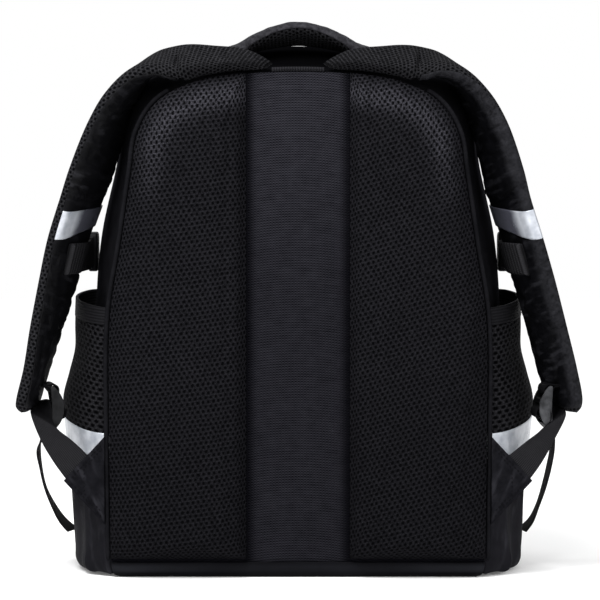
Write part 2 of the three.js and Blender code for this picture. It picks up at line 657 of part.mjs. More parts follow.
// Side pockets: one bulging wall, sewn from a lower part, a silver strip, mesh and an elastic hem
function addPockets() {
  const rows = POCKET_ROWS.map((row) => new THREE.Vector3(row.out, row.seamZ, row.z));
  const section = new THREE.CatmullRomCurve3(rows);
  const profile = (share, fullness) => {
    const row = section.getPoint(THREE.MathUtils.clamp(share, 0, 1));
    return new THREE.Vector2(row.x * fullness, THREE.MathUtils.lerp(row.y, row.z, fullness));
  };
  const climbOf = (z) => {
    const { low, strip, top, atStrip, atMouth } = POCKET_RISE;
    const most = THREE.MathUtils.lerp(atStrip, atMouth, THREE.MathUtils.smoothstep(z, strip, top));
    return most * THREE.MathUtils.smoothstep(z, low, strip);
  };
  const wallPoint = (sign, share, part, lift) => {
    const y = THREE.MathUtils.lerp(POCKET_BACK_Y, POCKET_FRONT_Y, part);
    const fullness = Math.sqrt(Math.max(Math.sin(Math.PI * part), 0));
    const here = profile(share, fullness);
    const below = profile(share - POCKET_STEP, fullness);
    const along = profile(share + POCKET_STEP, fullness).sub(below).normalize();
    const rise = part * climbOf(here.y);
    const x = sideOut(here.y + rise, y) + POCKET_CLEAR + here.x + along.y * lift;
    return new THREE.Vector3(sign * x, y, here.y + rise - along.x * lift);
  };
  const parts = spaced(0, Math.PI, POCKET_AROUND).map((angle) => (1 - Math.cos(angle)) / 2);
  for (const [side, sign] of Object.entries(SIDES)) {
    for (const { name, from, to, steps, slot } of POCKET_BANDS) {
      const start = from ? from + POCKET_TRIM : 0;
      const face = (lift) =>
        spaced(start, to, steps).map((share) =>
          parts.map((part) => wallPoint(sign, share, part, lift)),
        );
      addPiece(`${name}_${side}`, slot, wall(face(POCKET_CLOTH), face(0)));
    }
  }
}

// Strap anchors, and the points on their upper edge where the webbing is sewn in
function addAnchors() {
  const { inner, top, bottom, tip, tipZ, thickness } = ANCHOR;
  for (const [side, sign] of Object.entries(SIDES)) {
    const outline = new THREE.Shape();
    outline.moveTo(sign * inner, top).lineTo(sign * tip, tipZ).lineTo(sign * inner, bottom);
    const settings = { depth: thickness, bevelEnabled: false };
    const geometry = new THREE.ExtrudeGeometry(outline, settings);
    geometry.rotateX(Math.PI / 2);
    const anchor = addPiece(`strap_anchor_${side}`, "nylon", geometry);
    anchor.position.y = ANCHOR_FRONT_Y + thickness;
  }
}

// Adjuster buckle: a curved plate with three windows, standing in its own group
function addLock(side, sign) {
  const { width, half, thickness, bulge, window, cutDepth } = LOCK;
  const profile = new THREE.Shape()
    .moveTo(-thickness / 2, half)
    .quadraticCurveTo(-thickness / 2 - 2 * bulge, 0, -thickness / 2, -half)
    .lineTo(thickness / 2, -half)
    .quadraticCurveTo(thickness / 2 - 2 * bulge, 0, thickness / 2, half);
  const settings = { depth: width, bevelEnabled: false, curveSegments: 8 };
  const plate = new THREE.ExtrudeGeometry(profile, settings).translate(0, 0, -width / 2);
  const windows = LOCK_WINDOWS.map(({ from, to }) =>
    new THREE.BoxGeometry(cutDepth, to - from, window).translate(0, (from + to) / 2, 0),
  );
  const geometry = cut(plate, windows);
  geometry.applyMatrix4(UPRIGHT);
  const { out, y, z, yaw } = LOCK_PLACE[side];
  const group = new THREE.Group();
  group.position.set(sign * out, y, z);
  group.rotation.z = -sign * THREE.MathUtils.degToRad(90 - yaw);
  backpack.add(group);
  addPiece(`ladder_lock_${side}`, "plastic", geometry, group);
  group.updateMatrixWorld(true);
  return group;
}

// Webbing loop that holds the buckle: a flat eye round its top bar, its neck up on the strap
function addLockLoop(side, group) {
  const eye = LOOP_EYE;
  const neck = LOOP_NECK;
  const cloth = LOOP_CLOTH;
  const middle = (eye.front + eye.back) / 2;
  const outline = new THREE.Shape()
    .moveTo(eye.front - cloth, eye.side)
    .quadraticCurveTo(eye.front - cloth, eye.bottom - cloth, middle, eye.bottom - cloth)
    .quadraticCurveTo(eye.back + cloth, eye.bottom - cloth, eye.back + cloth, eye.side)
    .lineTo(eye.back + cloth, eye.shoulder)
    .lineTo(neck.back, neck.bottom)
    .lineTo(neck.back, neck.top)
    .lineTo(neck.front, neck.top)
    .lineTo(neck.front, neck.bottom)
    .lineTo(eye.narrow - cloth, eye.shoulder);
  const hole = new THREE.Path()
    .moveTo(eye.front, eye.side)
    .quadraticCurveTo(eye.front, eye.bottom, middle, eye.bottom)
    .quadraticCurveTo(eye.back, eye.bottom, eye.back, eye.side)
    .lineTo(eye.back, eye.shoulder)
    .lineTo((neck.front + neck.back) / 2, eye.apex)
    .lineTo(eye.narrow, eye.shoulder);
  outline.holes.push(hole);
  const settings = { depth: WEBBING_WIDTH, bevelEnabled: false, curveSegments: 3 };
  const geometry = new THREE.ExtrudeGeometry(outline, settings).translate(0, 0, -WEBBING_WIDTH / 2);
  geometry.applyMatrix4(UPRIGHT);
  addPiece(`lock_loop_${side}`, "webbing", geometry, group);
}

// Lower webbing: from the anchor's edge through the buckle, then its free tail
function addLowerWebbing(side, sign, group) {
  const { inner, top, tip, tipZ, thickness } = ANCHOR;
  const edge = new THREE.Vector2(tip - inner, tipZ - top);
  const length = edge.length();
  const onEdge = (distance) => {
    const share = distance / length;
    const away = new THREE.Vector2(-edge.y, edge.x).normalize().multiplyScalar(2 * GAP);
    return new THREE.Vector3(
      sign * (inner + edge.x * share + away.x),
      ANCHOR_FRONT_Y + thickness / 2,
      top + edge.y * share + away.y,
    );
  };
  const sewn = { near: onEdge(length - SEWN_IN), far: onEdge(length - SEWN_IN - WEBBING_WIDTH) };
  const inLock = LOCK_ROUTE.map(({ back, z }) => ({
    near: group.localToWorld(new THREE.Vector3((sign * WEBBING_WIDTH) / 2, back, z)),
    far: group.localToWorld(new THREE.Vector3((-sign * WEBBING_WIDTH) / 2, back, z)),
  }));
  const tail = TAIL_ROWS[side].map(({ out, y, z, turn }) => {
    const angle = THREE.MathUtils.degToRad(turn);
    const across = new THREE.Vector3(-sign * Math.sin(angle), Math.cos(angle), 0);
    const reach = across.multiplyScalar(WEBBING_WIDTH / 2);
    const centre = new THREE.Vector3(sign * out, y, z);
    return { near: centre.clone().sub(reach), far: centre.clone().add(reach) };
  });
  const rows = [sewn, ...inLock, ...tail];
  const near = rows.map((row) => row.near);
  const far = rows.map((row) => row.far);
  const strip = band(near, far, WEBBING_STEPS, 1, () => WEBBING_HALF);
  addPiece(`lower_webbing_${side}`, "webbing", strip.geometry());
}

function addAdjusters() {
  for (const [side, sign] of Object.entries(SIDES)) {
    const group = addLock(side, sign);
    addLockLoop(side, group);
    addLowerWebbing(side, sign, group);
  }
}

addBody();
addZipSlider();
addBackPads();
addSeamTrim();
addStraps();
addChestStraps();
addHandle();
addPockets();
addAnchors();
addAdjusters();

export default backpack;
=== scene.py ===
import math

import bmesh
import bpy
import numpy as np
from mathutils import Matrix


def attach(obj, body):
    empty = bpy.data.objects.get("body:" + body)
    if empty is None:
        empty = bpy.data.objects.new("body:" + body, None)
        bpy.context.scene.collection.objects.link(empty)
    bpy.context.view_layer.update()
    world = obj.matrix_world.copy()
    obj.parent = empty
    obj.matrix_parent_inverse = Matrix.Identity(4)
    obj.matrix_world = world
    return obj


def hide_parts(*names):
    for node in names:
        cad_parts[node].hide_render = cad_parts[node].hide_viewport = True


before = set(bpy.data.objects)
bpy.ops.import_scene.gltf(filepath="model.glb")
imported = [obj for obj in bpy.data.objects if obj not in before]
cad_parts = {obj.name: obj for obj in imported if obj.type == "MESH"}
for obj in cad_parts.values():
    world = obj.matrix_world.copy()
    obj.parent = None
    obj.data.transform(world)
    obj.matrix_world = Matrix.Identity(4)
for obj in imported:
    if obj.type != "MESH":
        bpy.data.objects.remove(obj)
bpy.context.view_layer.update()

# Lengths in the tables are millimetres; meshes are made in metres.
MM = 0.001
SIDES = {"left": -1, "right": 1}

# Camera at the photo's angle: level with the back, a little above it.
IMAGE_PX = 600
PX_MM = 0.7605
CAMERA_DISTANCE = 2500.0
CAMERA_RISE = math.radians(3)
AIM = np.array([1.5, -80.0, 212.0])
SENSOR = 36.0

# Body: half outline of the back seam (x, z), then how far the fullest section and the front
# guide stand out from it (out, up, out, up).
SEAM_Z = 12.4
BODY = np.array([
    [142, SEAM_Z, 8, 0, 4, 0],
    [143, 110, 14, 0, 7, 0],
    [142, 200, 16, 2, 9, 0],
    [133.5, 255, 20, 4, 12, 2],
    [125.5, 309, 16, 6, 9, 3],
    [120.5, 339, 15.5, 11, 6, 4],
    [106, 362, 15, 18.5, 4, 6],
    [78, 377, 6, 17.5, 0, 7],
    [40, 383.5, 0, 20, 0, 6],
    [0, 385.5, 0, 21, 0, 6],
])
BACK_Y = -80.0
GUIDE_FRONT_Y = 70.0
ZIP_BACK_Y = 40.0
ZIP_FRONT_Y = 56.0
ZIP_COIL_Y = 48.0
ZIP_TOOTH = 1.7
CLOTH = 2.2
PANEL_BACK_Y = -83.2
PANEL_THICKNESS = 2.8
# Front panel: the zip line drawn in towards the middle of the base (scale), and its depth.
FRONT = np.array([[1, 56.4], [0.985, 68], [0.95, 77], [0.88, 83], [0.75, 86], [0.4, 89], [0, 90]])
# Base tray: inset and height of the outside, then of the inside.
BASE = np.array([[0, 12, 2.2, 12], [0, 7, 2.2, 7.6], [1.6, 2.6, 3.4, 4.4], [6, 0, 7, 2.2]])

# Back pads
CHANNEL_HALF = 39.5
PAD_BOTTOM = 14.5
PAD_SEAM = -0.8
PAD_LIFT = 13.2
PAD_ROLL = {"outer": 38.0, "channel": 12.0, "bottom": 16.0}
PIPING_OUT = 3.0
PIPING_RADIUS = 1.9
BINDING_Y = -83.6
# Lean of the pads' mesh rows, in degrees
PAD_TILT = {"left": 7.4, "right": 15.5}

# Shoulder straps: near edge (out, y, z) and far edge (out, y, z)
SHOULDER = [
    [24, -83.5, 388.2, 19, -81, 391],
    [50, -86.5, 387.2, 40, -80, 400.5],
    [74, -88.5, 384, 66, -78, 403],
    [93, -91, 382, 89, -66, 402.5],
    [109, -92, 385, 105, -50, 398],
    [126.5, -93.5, 381, 116, -40, 388.5],
    [143, -94, 366.5, 126.5, -36, 370.5],
    [156, -94, 345.5, 135, -35, 348.5],
]
STRAP = {
    "left": np.array(SHOULDER + [
        [170.5, -92.5, 311, 145.5, -34, 311],
        [177.5, -91.5, 289, 154, -33.5, 288],
        [187, -91, 258, 165, -33, 258],
        [193.4, -91, 227, 174.5, -33, 227],
        [200.2, -90.5, 189, 187, -33.5, 189],
        [204.6, -90, 158, 198, -34, 158],
        [209.8, -88, 136, 205, -36, 136],
        [211, -79, 126, 208.5, -45, 126],
    ]),
    "right": np.array(SHOULDER + [
        [168.5, -92.5, 311, 144, -34, 311],
        [174, -91.5, 289, 150.5, -33.5, 288],
        [183.8, -90.5, 258, 160, -33.5, 258],
        [192.8, -90, 227, 168.5, -34, 227],
        [202.6, -89, 189, 179, -35, 189],
        [210.2, -88, 158, 187.5, -36, 158],
        [214, -87, 136, 194.5, -37, 136],
        [212.5, -79, 126, 199.5, -46, 126],
    ]),
}
STRAP_HALF = 5.9
STRAP_SPAN = 29.0
# Power of the cross-section: a higher one is squarer
STRAP_SQUARE = {"left": 6.0, "right": 4.0}
LINING_SEED = {"left": 31, "right": 47}
# Share along the strap where the nylon lies flat for the tape
TAPE_AT = 0.64
# Silver tape: shares along the strap of its upper and lower line, at the near and at the far edge
TAPE_NEAR = (0.618, 0.664)
TAPE_FAR = (0.608, 0.640)

# Chest strap
CHEST_TOP_AT = 0.668
CHEST_BOTTOM_AT = 0.7213
CHEST_Z = 245.0
CHEST_WIDTH = 25.0
CHEST_HALF = 0.8
CHEST_ON_STRAP = np.array([-0.45, 0.1, 0.6, 1])
CHEST_FREE = np.array([[163, -24], [161.6, -6], [161.8, 12]])
CHEST_BUCKLE = np.array([4.0, 13.0, 15.5])

# Carry handle: x, near height, far height
HANDLE_Y = (-69.0, -40.0)
HANDLE_FOOT = 70.0
HANDLE = np.array([
    [68.5, 388, 396], [60, 392, 399], [46, 399.5, 402.5],
    [33, 409.5, 404.4], [15, 417.8, 406.9], [0, 420.3, 408],
])
HANDLE_HALF = 5.0
HANDLE_SPAN = 15.0

# Side pockets: height, how far the wall stands out, and the height at the seams
POCKET = np.array([
    [4.4, 0, 2.5], [2.8, 10, 5], [3.4, 19, 8], [8, 22.5, 12], [20, 22.5, 20], [60, 21.5, 60],
    [100, 23.5, 100], [122, 24.5, 122], [143, 19.5, 143],
    [165, 14.5, 165], [185, 14.5, 185], [206, 14.5, 206],
])
POCKET_Y = (-77.5, 33.0)
POCKET_RISE = {"low": 20, "strip": 95, "top": 190, "at_strip": 22, "at_mouth": 9}
POCKET_CLEAR = 0.6
POCKET_CLOTH = 1.5
POCKET_OVERLAP = 0.35

# Webbing, anchors and buckles
ANCHOR = {"inner": 147.4, "top": 108, "bottom": 41, "tip": 178.5, "tip_z": 74.5, "thickness": 2.6}
ANCHOR_Y = -84.6
WEB_WIDTH = 25.0
WEB_HALF = 0.75
# Webbing from the anchor up to the buckle and over its outer side: near edge and far edge (out, y, z)
WEB_FREE = {
    "left": np.array([
        [165, -82.1, 98.6, 185.8, -81.3, 87.6],
        [173.4, -81.2, 106, 196.6, -78.6, 105.6],
        [183.3, -81.2, 114, 204.3, -74.8, 126],
        [187.4, -78.6, 120.8, 202.4, -60, 130.5],
        [187.6, -77.9, 127.6, 199, -53.5, 133],
    ]),
    "right": np.array([
        [165.5, -82.1, 97.5, 185.5, -81.3, 87.6],
        [174, -81.2, 104.3, 195.5, -79.5, 105.3],
        [184, -80.3, 111.8, 204.4, -77.7, 124.4],
        [192, -79.3, 118.8, 200.5, -60, 129.5],
        [192.8, -78.2, 127, 195.5, -54, 132.5],
    ]),
}
LOCK = {"width": 32, "half": 17, "thickness": 4.5, "bulge": 7, "window": 26.4}
LOCK_RAIL = 5.0
LOCK_FAR_RAIL = 3.0
LOCK_WINDOWS = [(-11.5, -6), (-2, 3.5), (7, 12)]
# Loop round the buckle's top bar: depth and height
LOCK_EYE = np.array([
    [6.4, 16.3], [3, 16.1], [0.6, 12.2], [-3.2, 10.3], [-5.2, 12.4],
    [-4.6, 16], [-1.5, 18], [3, 17.5], [6.4, 17.5],
])
LOOP_HALF = 0.6
# Where a buckle stands: its middle (out, y, z) and its turn about the vertical, in degrees
LOCK_PLACE = {"left": (190.5, -62, 129, -12), "right": (191.8, -62, 129, 6)}
# Webbing round the buckle's bar: depth, height and shift to the far side
LOCK_ROUTE = np.array([
    [1, 4.5, 0], [-2.8, 2.9, 0], [-6.5, 1, 0], [-10.4, -1.5, 0], [-11, -4, 0], [-10.2, -6.6, 0],
    [-6, -8.8, 0], [-2, -10.4, 0], [0.9, -14, 0.5], [3.4, -20, 4],
])
# Free tail: its middle line (out, y, z) and its turn about the vertical, in degrees
TAIL = {
    "left": np.array([
        [200, -50, 96, 1], [199, -42, 80, -2], [196.5, -32, 64, -3],
        [191.5, -16, 48, 1], [185.5, 2, 34, 8], [178.5, 18, 24, 16],
    ]),
    "right": np.array([
        [196, -50, 96, 3], [194, -42, 80, 3], [191, -32, 64, 2],
        [187.5, -16, 48, 0], [183.5, 2, 34, 4], [177.5, 18, 24, 12],
    ]),
}

# Cloth simulation: frames, solver steps, and how far a point may sink, in millimetres
SETTLE_FRAMES = 20
SETTLE_STEPS = 6
SETTLE_SINK = 0.3
# Each loose face: air pressure, growth of the cut cloth, and how far a point may move, in millimetres
PAD_SLACK = (4.0, 0.01, 3.0)
STRAP_SLACK = (1.0, 0.07, 2.0)


# Curves and body surface

def curve(points, shares):
    """A smooth curve through the points, read at shares from 0 to 1, where each span between two
    points takes an equal part. It is the centripetal Catmull-Rom cubic, and the spans past both
    ends mirror the end spans."""
    p = np.asarray(points, float)
    p = np.vstack([2 * p[0] - p[1], p, 2 * p[-1] - p[-2]])
    spans = len(p) - 3
    at = np.clip(np.asarray(shares, float), 0, 1) * spans
    k = np.minimum(at.astype(int), spans - 1)
    w = (at - k)[..., None]
    a, b, c, d = (p[k + j] for j in range(4))

    def knot(start, end):
        return np.maximum(((end - start) ** 2).sum(-1, keepdims=True) ** 0.25, 1e-4)

    t0, t1, t2 = knot(a, b), knot(b, c), knot(c, d)
    m1 = ((b - a) / t0 - (c - a) / (t0 + t1) + (c - b) / t1) * t1
    m2 = ((c - b) / t1 - (d - b) / (t1 + t2) + (d - c) / t2) * t1
    return b + m1 * w + (3 * (c - b) - 2 * m1 - m2) * w**2 + (2 * (b - c) + m1 + m2) * w**3


def join(*parts):
    """Coordinates side by side along a new last axis, each spread to the shape of all."""
    return np.stack(np.broadcast_arrays(*parts), -1)


def guide(out, up):
    """The body's outline with its rows moved out and up, from the left corner to the right one."""
    half = join(BODY[:, 0] + out, 0.0, BODY[:, 1] + up)
    return np.vstack([half[:-1] * (-1, 1, 1), half[::-1]])


GUIDES = [guide(0, 0), guide(BODY[:, 2], BODY[:, 3]), guide(BODY[:, 4], BODY[:, 5])]


def body_point(share, y):
    """The body's outer face, a share of the way round at depth y: the parabola in depth through
    the back, fullest and front outlines."""
    share, y = np.broadcast_arrays(np.asarray(share, float), np.asarray(y, float))
    s = ((y - BACK_Y) / (GUIDE_FRONT_Y - BACK_Y))[..., None]
    weights = 2 * (s - 0.5) * (s - 1), 4 * s * (1 - s), 2 * s * (s - 0.5)
    point = sum(w * curve(g, share) for w, g in zip(weights, GUIDES))
    point[..., 1] = y
    return point


def body_offset(share, y, inset):
    """The body's face moved inwards, square to its outline at that depth."""
    step = 0.002
    along = body_point(np.minimum(share + step, 1), y) - body_point(np.maximum(share - step, 0), y)
    along /= np.linalg.norm(along, axis=-1, keepdims=True)
    inward = join(along[..., 2], 0.0, -along[..., 0])
    return body_point(share, y) + inward * np.asarray(inset, float)[..., None]


def share_where(y, axis, target):
    """The share in the left half where a coordinate of the body's face reaches a target, by halving."""
    y, target = np.broadcast_arrays(np.asarray(y, float), np.asarray(target, float))
    low, high = np.zeros(y.shape), np.full(y.shape, 0.5)
    for _ in range(26):
        middle = (low + high) / 2
        under = body_point(middle, y)[..., axis] < target
        low, high = np.where(under, middle, low), np.where(under, high, middle)
    return low


def side_out(z, y):
    """How far the side of the body stands out at a height and depth."""
    return -body_point(share_where(y, 2, np.maximum(z, SEAM_Z)), y)[..., 0]


def smooth_step(x, low, high):
    """0 below low and 1 above high, with an even S between."""
    t = np.clip((np.asarray(x, float) - low) / (high - low), 0, 1)
    return t * t * (3 - 2 * t)


def bell(x, middle, width):
    """A hump of height 1: e to the power of minus the square of the distance from the middle over the width."""
    return np.exp(-(((x - middle) / width) ** 2))


def lattice(down, across):
    """Two matching grids: the values that change from row to row, and those that change from column to
    column."""
    return np.meshgrid(down, across, indexing="ij")


def unit(vectors):
    """Vectors shortened or drawn out to length 1."""
    return vectors / np.maximum(np.linalg.norm(vectors, axis=-1, keepdims=True), 1e-9)


def run_length(points):
    """Distance along the first axis of an array of points, from its first row."""
    steps = np.linalg.norm(np.diff(points, axis=0), axis=-1)
    return np.concatenate([np.zeros_like(steps[:1]), np.cumsum(steps, 0)])


def read_line(at, distance, points):
    """The spots of a line of points at given distances along it."""
    return np.stack([np.interp(at, distance, values) for values in points.T], -1)


def ripple(u, v, seed, waves, reach):
    """Soft uneven folds: a sum of sine waves with drawn directions, lengths and phases, about 1 high. Reach
    gives the shortest and longest wave in millimetres."""
    draw = np.random.default_rng(seed)
    total = np.zeros(np.broadcast(u, v).shape)
    for _ in range(waves):
        angle, phase = draw.uniform(0, 2 * math.pi, 2)
        pace = 2 * math.pi / draw.uniform(*reach)
        total = total + np.sin(pace * (u * math.cos(angle) + v * math.sin(angle)) + phase)
    return total / math.sqrt(waves)


# Meshes

def patch(grid, uv, loop_u=False, loop_v=False):
    """One grid of points with its cloth coordinates in millimetres. A looped direction joins its last
    line to its first, and its cloth coordinates then hold one line more than its points."""
    return grid, uv, loop_u, loop_v


def shell(outer, inner, uv):
    """The closed wall between two matching grids: out over one, back under the other, with the two
    open ends drawn together on their middle line."""
    middle = (outer + inner) / 2
    ends = [np.concatenate([middle[k : k + 1], middle[k : k + 1, ::-1]], 1) for k in (0, len(middle) - 1)]
    grid = np.concatenate([ends[0], np.concatenate([outer, inner[:, ::-1]], 1), ends[1]])
    cloth = np.concatenate([uv, uv[:, ::-1], uv[:, :1]], 1)
    cloth = np.concatenate([cloth[:1], cloth, cloth[-1:]])
    return patch(grid, cloth, loop_v=True)


def cell_corners(rows, columns):
    """Row and column numbers of the four corners of every cell of a grid."""
    i, j = lattice(np.arange(rows), np.arange(columns))
    return (i, j), (i + 1, j), (i + 1, j + 1), (i, j + 1)


def make(name, material, *patches):
    """A mesh object from grids: corner points, quads between neighbouring lines, cloth coordinates on
    the corners. Coinciding points are merged and faces turned outwards."""
    points, quads, cloth, start = [], [], [], 0
    for grid, uv, loop_u, loop_v in patches:
        rows, columns = grid.shape[:2]
        corners = cell_corners(rows - (not loop_u), columns - (not loop_v))
        numbers = [start + (a % rows) * columns + b % columns for a, b in corners]
        quads.append(np.stack(numbers, -1).reshape(-1, 4))
        cloth.append(np.stack([uv[a % len(uv), b % uv.shape[1]] for a, b in corners], -2).reshape(-1, 2))
        points.append(grid.reshape(-1, 3))
        start += rows * columns
    return make_faces(name, material, np.vstack(points), np.vstack(quads), np.vstack(cloth))


def make_faces(name, material, points, quads, cloth, bevel=None):
    """The mesh object of listed points in millimetres, quads and the cloth coordinates of their corners."""
    mesh = bpy.data.meshes.new(name)
    mesh.vertices.add(len(points))
    mesh.vertices.foreach_set("co", (points * MM).ravel())
    mesh.loops.add(quads.size)
    mesh.loops.foreach_set("vertex_index", quads.ravel())
    mesh.polygons.add(len(quads))
    mesh.polygons.foreach_set("loop_start", np.arange(0, quads.size, 4))
    mesh.update(calc_edges=True)
    layer = mesh.uv_layers.new(name="Cloth")
    layer.data.foreach_set("uv", cloth.ravel())
    built = bmesh.new()
    built.from_mesh(mesh)
    bmesh.ops.remove_doubles(built, verts=built.verts, dist=2e-6)
    bmesh.ops.dissolve_degenerate(built, edges=built.edges, dist=1e-7)
    bmesh.ops.recalc_face_normals(built, faces=built.faces)
    built.to_mesh(mesh)
    built.free()
    mesh.polygons.foreach_set("use_smooth", np.ones(len(mesh.polygons), bool))
    mesh.update()
    mesh.materials.append(material)
    piece = bpy.data.objects.new(name, mesh)
    bpy.context.scene.collection.objects.link(piece)
    if bevel:
        rounding = piece.modifiers.new("rounding", "BEVEL")
        rounding.width = bevel * MM
        rounding.segments = 3
        rounding.limit_method = "ANGLE"
        rounding.angle_limit = math.radians(40)
    return piece


def place(piece, slot, *nodes):
    """Rides the piece on the part's one body, in place of the named solids. The slot is not used."""
    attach(piece, "root")
    if nodes:
        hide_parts(*nodes)
    return piece


def settle(outer, inner, held, pressure, growth, cap):
    """Cloth simulation of one face of a piece. The outer grid is a cloth that is held where held is true, cut
    larger by the share growth, with air pressure from the inner grid's side and no gravity. A point moves at
    most cap millimetres, and hardly towards the inner grid."""
    rows, columns = outer.shape[:2]
    quads = np.stack([a * columns + b for a, b in cell_corners(rows - 1, columns - 1)], -1).reshape(-1, 4)
    across, along = np.diff(outer, axis=0)[:, :-1], np.diff(outer, axis=1)[:-1]
    if (np.cross(across, along) * (outer - inner)[:-1, :-1]).sum() < 0:
        quads = quads[:, ::-1]
    mesh = bpy.data.meshes.new("settling")
    mesh.from_pydata((outer * MM).reshape(-1, 3), [], quads)
    cloth = bpy.data.objects.new("settling", mesh)
    bpy.context.scene.collection.objects.link(cloth)
    pins = cloth.vertex_groups.new(name="held")
    pins.add(np.flatnonzero(held.ravel()).tolist(), 1.0, "REPLACE")
    modifier = cloth.modifiers.new("cloth", "CLOTH")
    settings = modifier.settings
    settings.vertex_group_mass = "held"
    settings.use_pressure = True
    settings.uniform_pressure_force = pressure
    settings.shrink_min = -growth
    settings.quality = SETTLE_STEPS
    settings.effector_weights.gravity = 0
    modifier.point_cache.frame_start, modifier.point_cache.frame_end = 1, SETTLE_FRAMES
    for number in range(1, SETTLE_FRAMES + 1):
        bpy.context.scene.frame_set(number)
    settled = cloth.evaluated_get(bpy.context.evaluated_depsgraph_get())
    spots = np.empty(rows * columns * 3)
    settled.data.vertices.foreach_get("co", spots)
    bpy.data.objects.remove(cloth)
    bpy.data.meshes.remove(mesh)
    bpy.context.scene.frame_set(1)
    move = np.nan_to_num(spots.reshape(outer.shape) / MM - outer)
    size = np.linalg.norm(move, axis=-1, keepdims=True)
    move = move * np.tanh(size / cap) * cap / np.maximum(size, 1e-6)
    away = unit(outer - inner)
    rise = (move * away).sum(-1, keepdims=True)
    return outer + move + np.maximum(-SETTLE_SINK - rise, 0) * away


# Materials

class Value:
    """A socket of a material's nodes. Arithmetic on it adds Math nodes."""

    def __init__(self, finish, socket):
        self.finish, self.socket = finish, socket

    def math(self, operation, *values):
        return self.finish.node("ShaderNodeMath", {"operation": operation}, list(values))

    def __add__(self, other):
        return self.math("ADD", self, other)

    def __sub__(self, other):
        return self.math("SUBTRACT", self, other)

    def __rsub__(self, other):
        return self.math("SUBTRACT", other, self)

    def __mul__(self, other):
        return self.math("MULTIPLY", self, other)

    def __truediv__(self, other):
        return self.math("DIVIDE", self, other)

    def __pow__(self, other):
        return self.math("POWER", self, other)

    __radd__ = __add__
    __rmul__ = __mul__

    def sine(self):
        return self.math("SINE", self)

    def size(self):
        return self.math("ABSOLUTE", self)

    def floor(self):
        return self.math("FLOOR", self)

    def part(self):
        return self.math("FRACT", self)

    def root(self):
        return self.math("SQRT", self)

    def ramp(self, low, high):
        """0 at low and 1 at high, with an even S between."""
        inputs = {"Value": self, "From Min": low, "From Max": high}
        return self.finish.node("ShaderNodeMapRange", {"interpolation_type": "SMOOTHSTEP"}, inputs)


class Finish:
    """A material under construction: its nodes, its shader, and the coordinates that patterns read."""

    def __init__(self, name, **constants):
        self.material = bpy.data.materials.new(name)
        self.material.use_nodes = True
        self.tree = self.material.node_tree
        self.shader = next(n for n in self.tree.nodes if n.type == "BSDF_PRINCIPLED")
        for socket, value in constants.items():
            self.shader.inputs[socket.replace("_", " ")].default_value = value

    def node(self, kind, settings, inputs, output=0):
        made = self.tree.nodes.new(kind)
        for key, value in settings.items():
            setattr(made, key, value)
        pairs = inputs.items() if isinstance(inputs, dict) else enumerate(inputs)
        for key, value in pairs:
            if isinstance(value, Value):
                self.tree.links.new(value.socket, made.inputs[key])
            else:
                made.inputs[key].default_value = value
        return Value(self, made.outputs[output])

    def cloth(self):
        """Across and along the piece's own cloth, in millimetres."""
        spot = self.node("ShaderNodeUVMap", {"uv_map": "Cloth"}, {})
        return [self.node("ShaderNodeSeparateXYZ", {}, [spot], k) for k in (0, 1)]

    def cloud(self, size, detail=3.0, roughness=0.5):
        """Uneven noise from 0 to 1 in the part's own frame, with features of about size millimetres."""
        spot = self.node("ShaderNodeTexCoord", {}, {}, "Object")
        inputs = {"Vector": spot, "Scale": 1 / (size * MM), "Detail": detail, "Roughness": roughness}
        return self.node("ShaderNodeTexNoise", {}, inputs)

    def blend(self, share, first, second):
        """A colour between two, by a share from 0 to 1."""
        first, second = (c if isinstance(c, Value) else (*c, 1) for c in (first, second))
        return self.node("ShaderNodeMix", {"data_type": "RGBA"}, {0: share, 6: first, 7: second}, 2)

    def spot(self):
        """The place on the part, in metres: x, y and z."""
        place = self.node("ShaderNodeTexCoord", {}, {}, "Object")
        return [self.node("ShaderNodeSeparateXYZ", {}, [place], k) for k in range(3)]

    def streaks(self, across, along, detail=3.0):
        """Noise over two coordinates; one that is scaled down more draws the noise out along it."""
        place = self.node("ShaderNodeCombineXYZ", {}, [across, along, 0.0])
        return self.node("ShaderNodeTexNoise", {}, {"Vector": place, "Scale": 1.0, "Detail": detail})

    def feed(self, socket, value):
        self.tree.links.new(value.socket, self.shader.inputs[socket])

    def relief(self, height, depth, strength=1.0):
        """Bump of a depth in millimetres from a height of 0 to 1."""
        inputs = {"Height": height, "Distance": depth * MM, "Strength": strength}
        self.feed("Normal", self.node("ShaderNodeBump", {}, inputs))


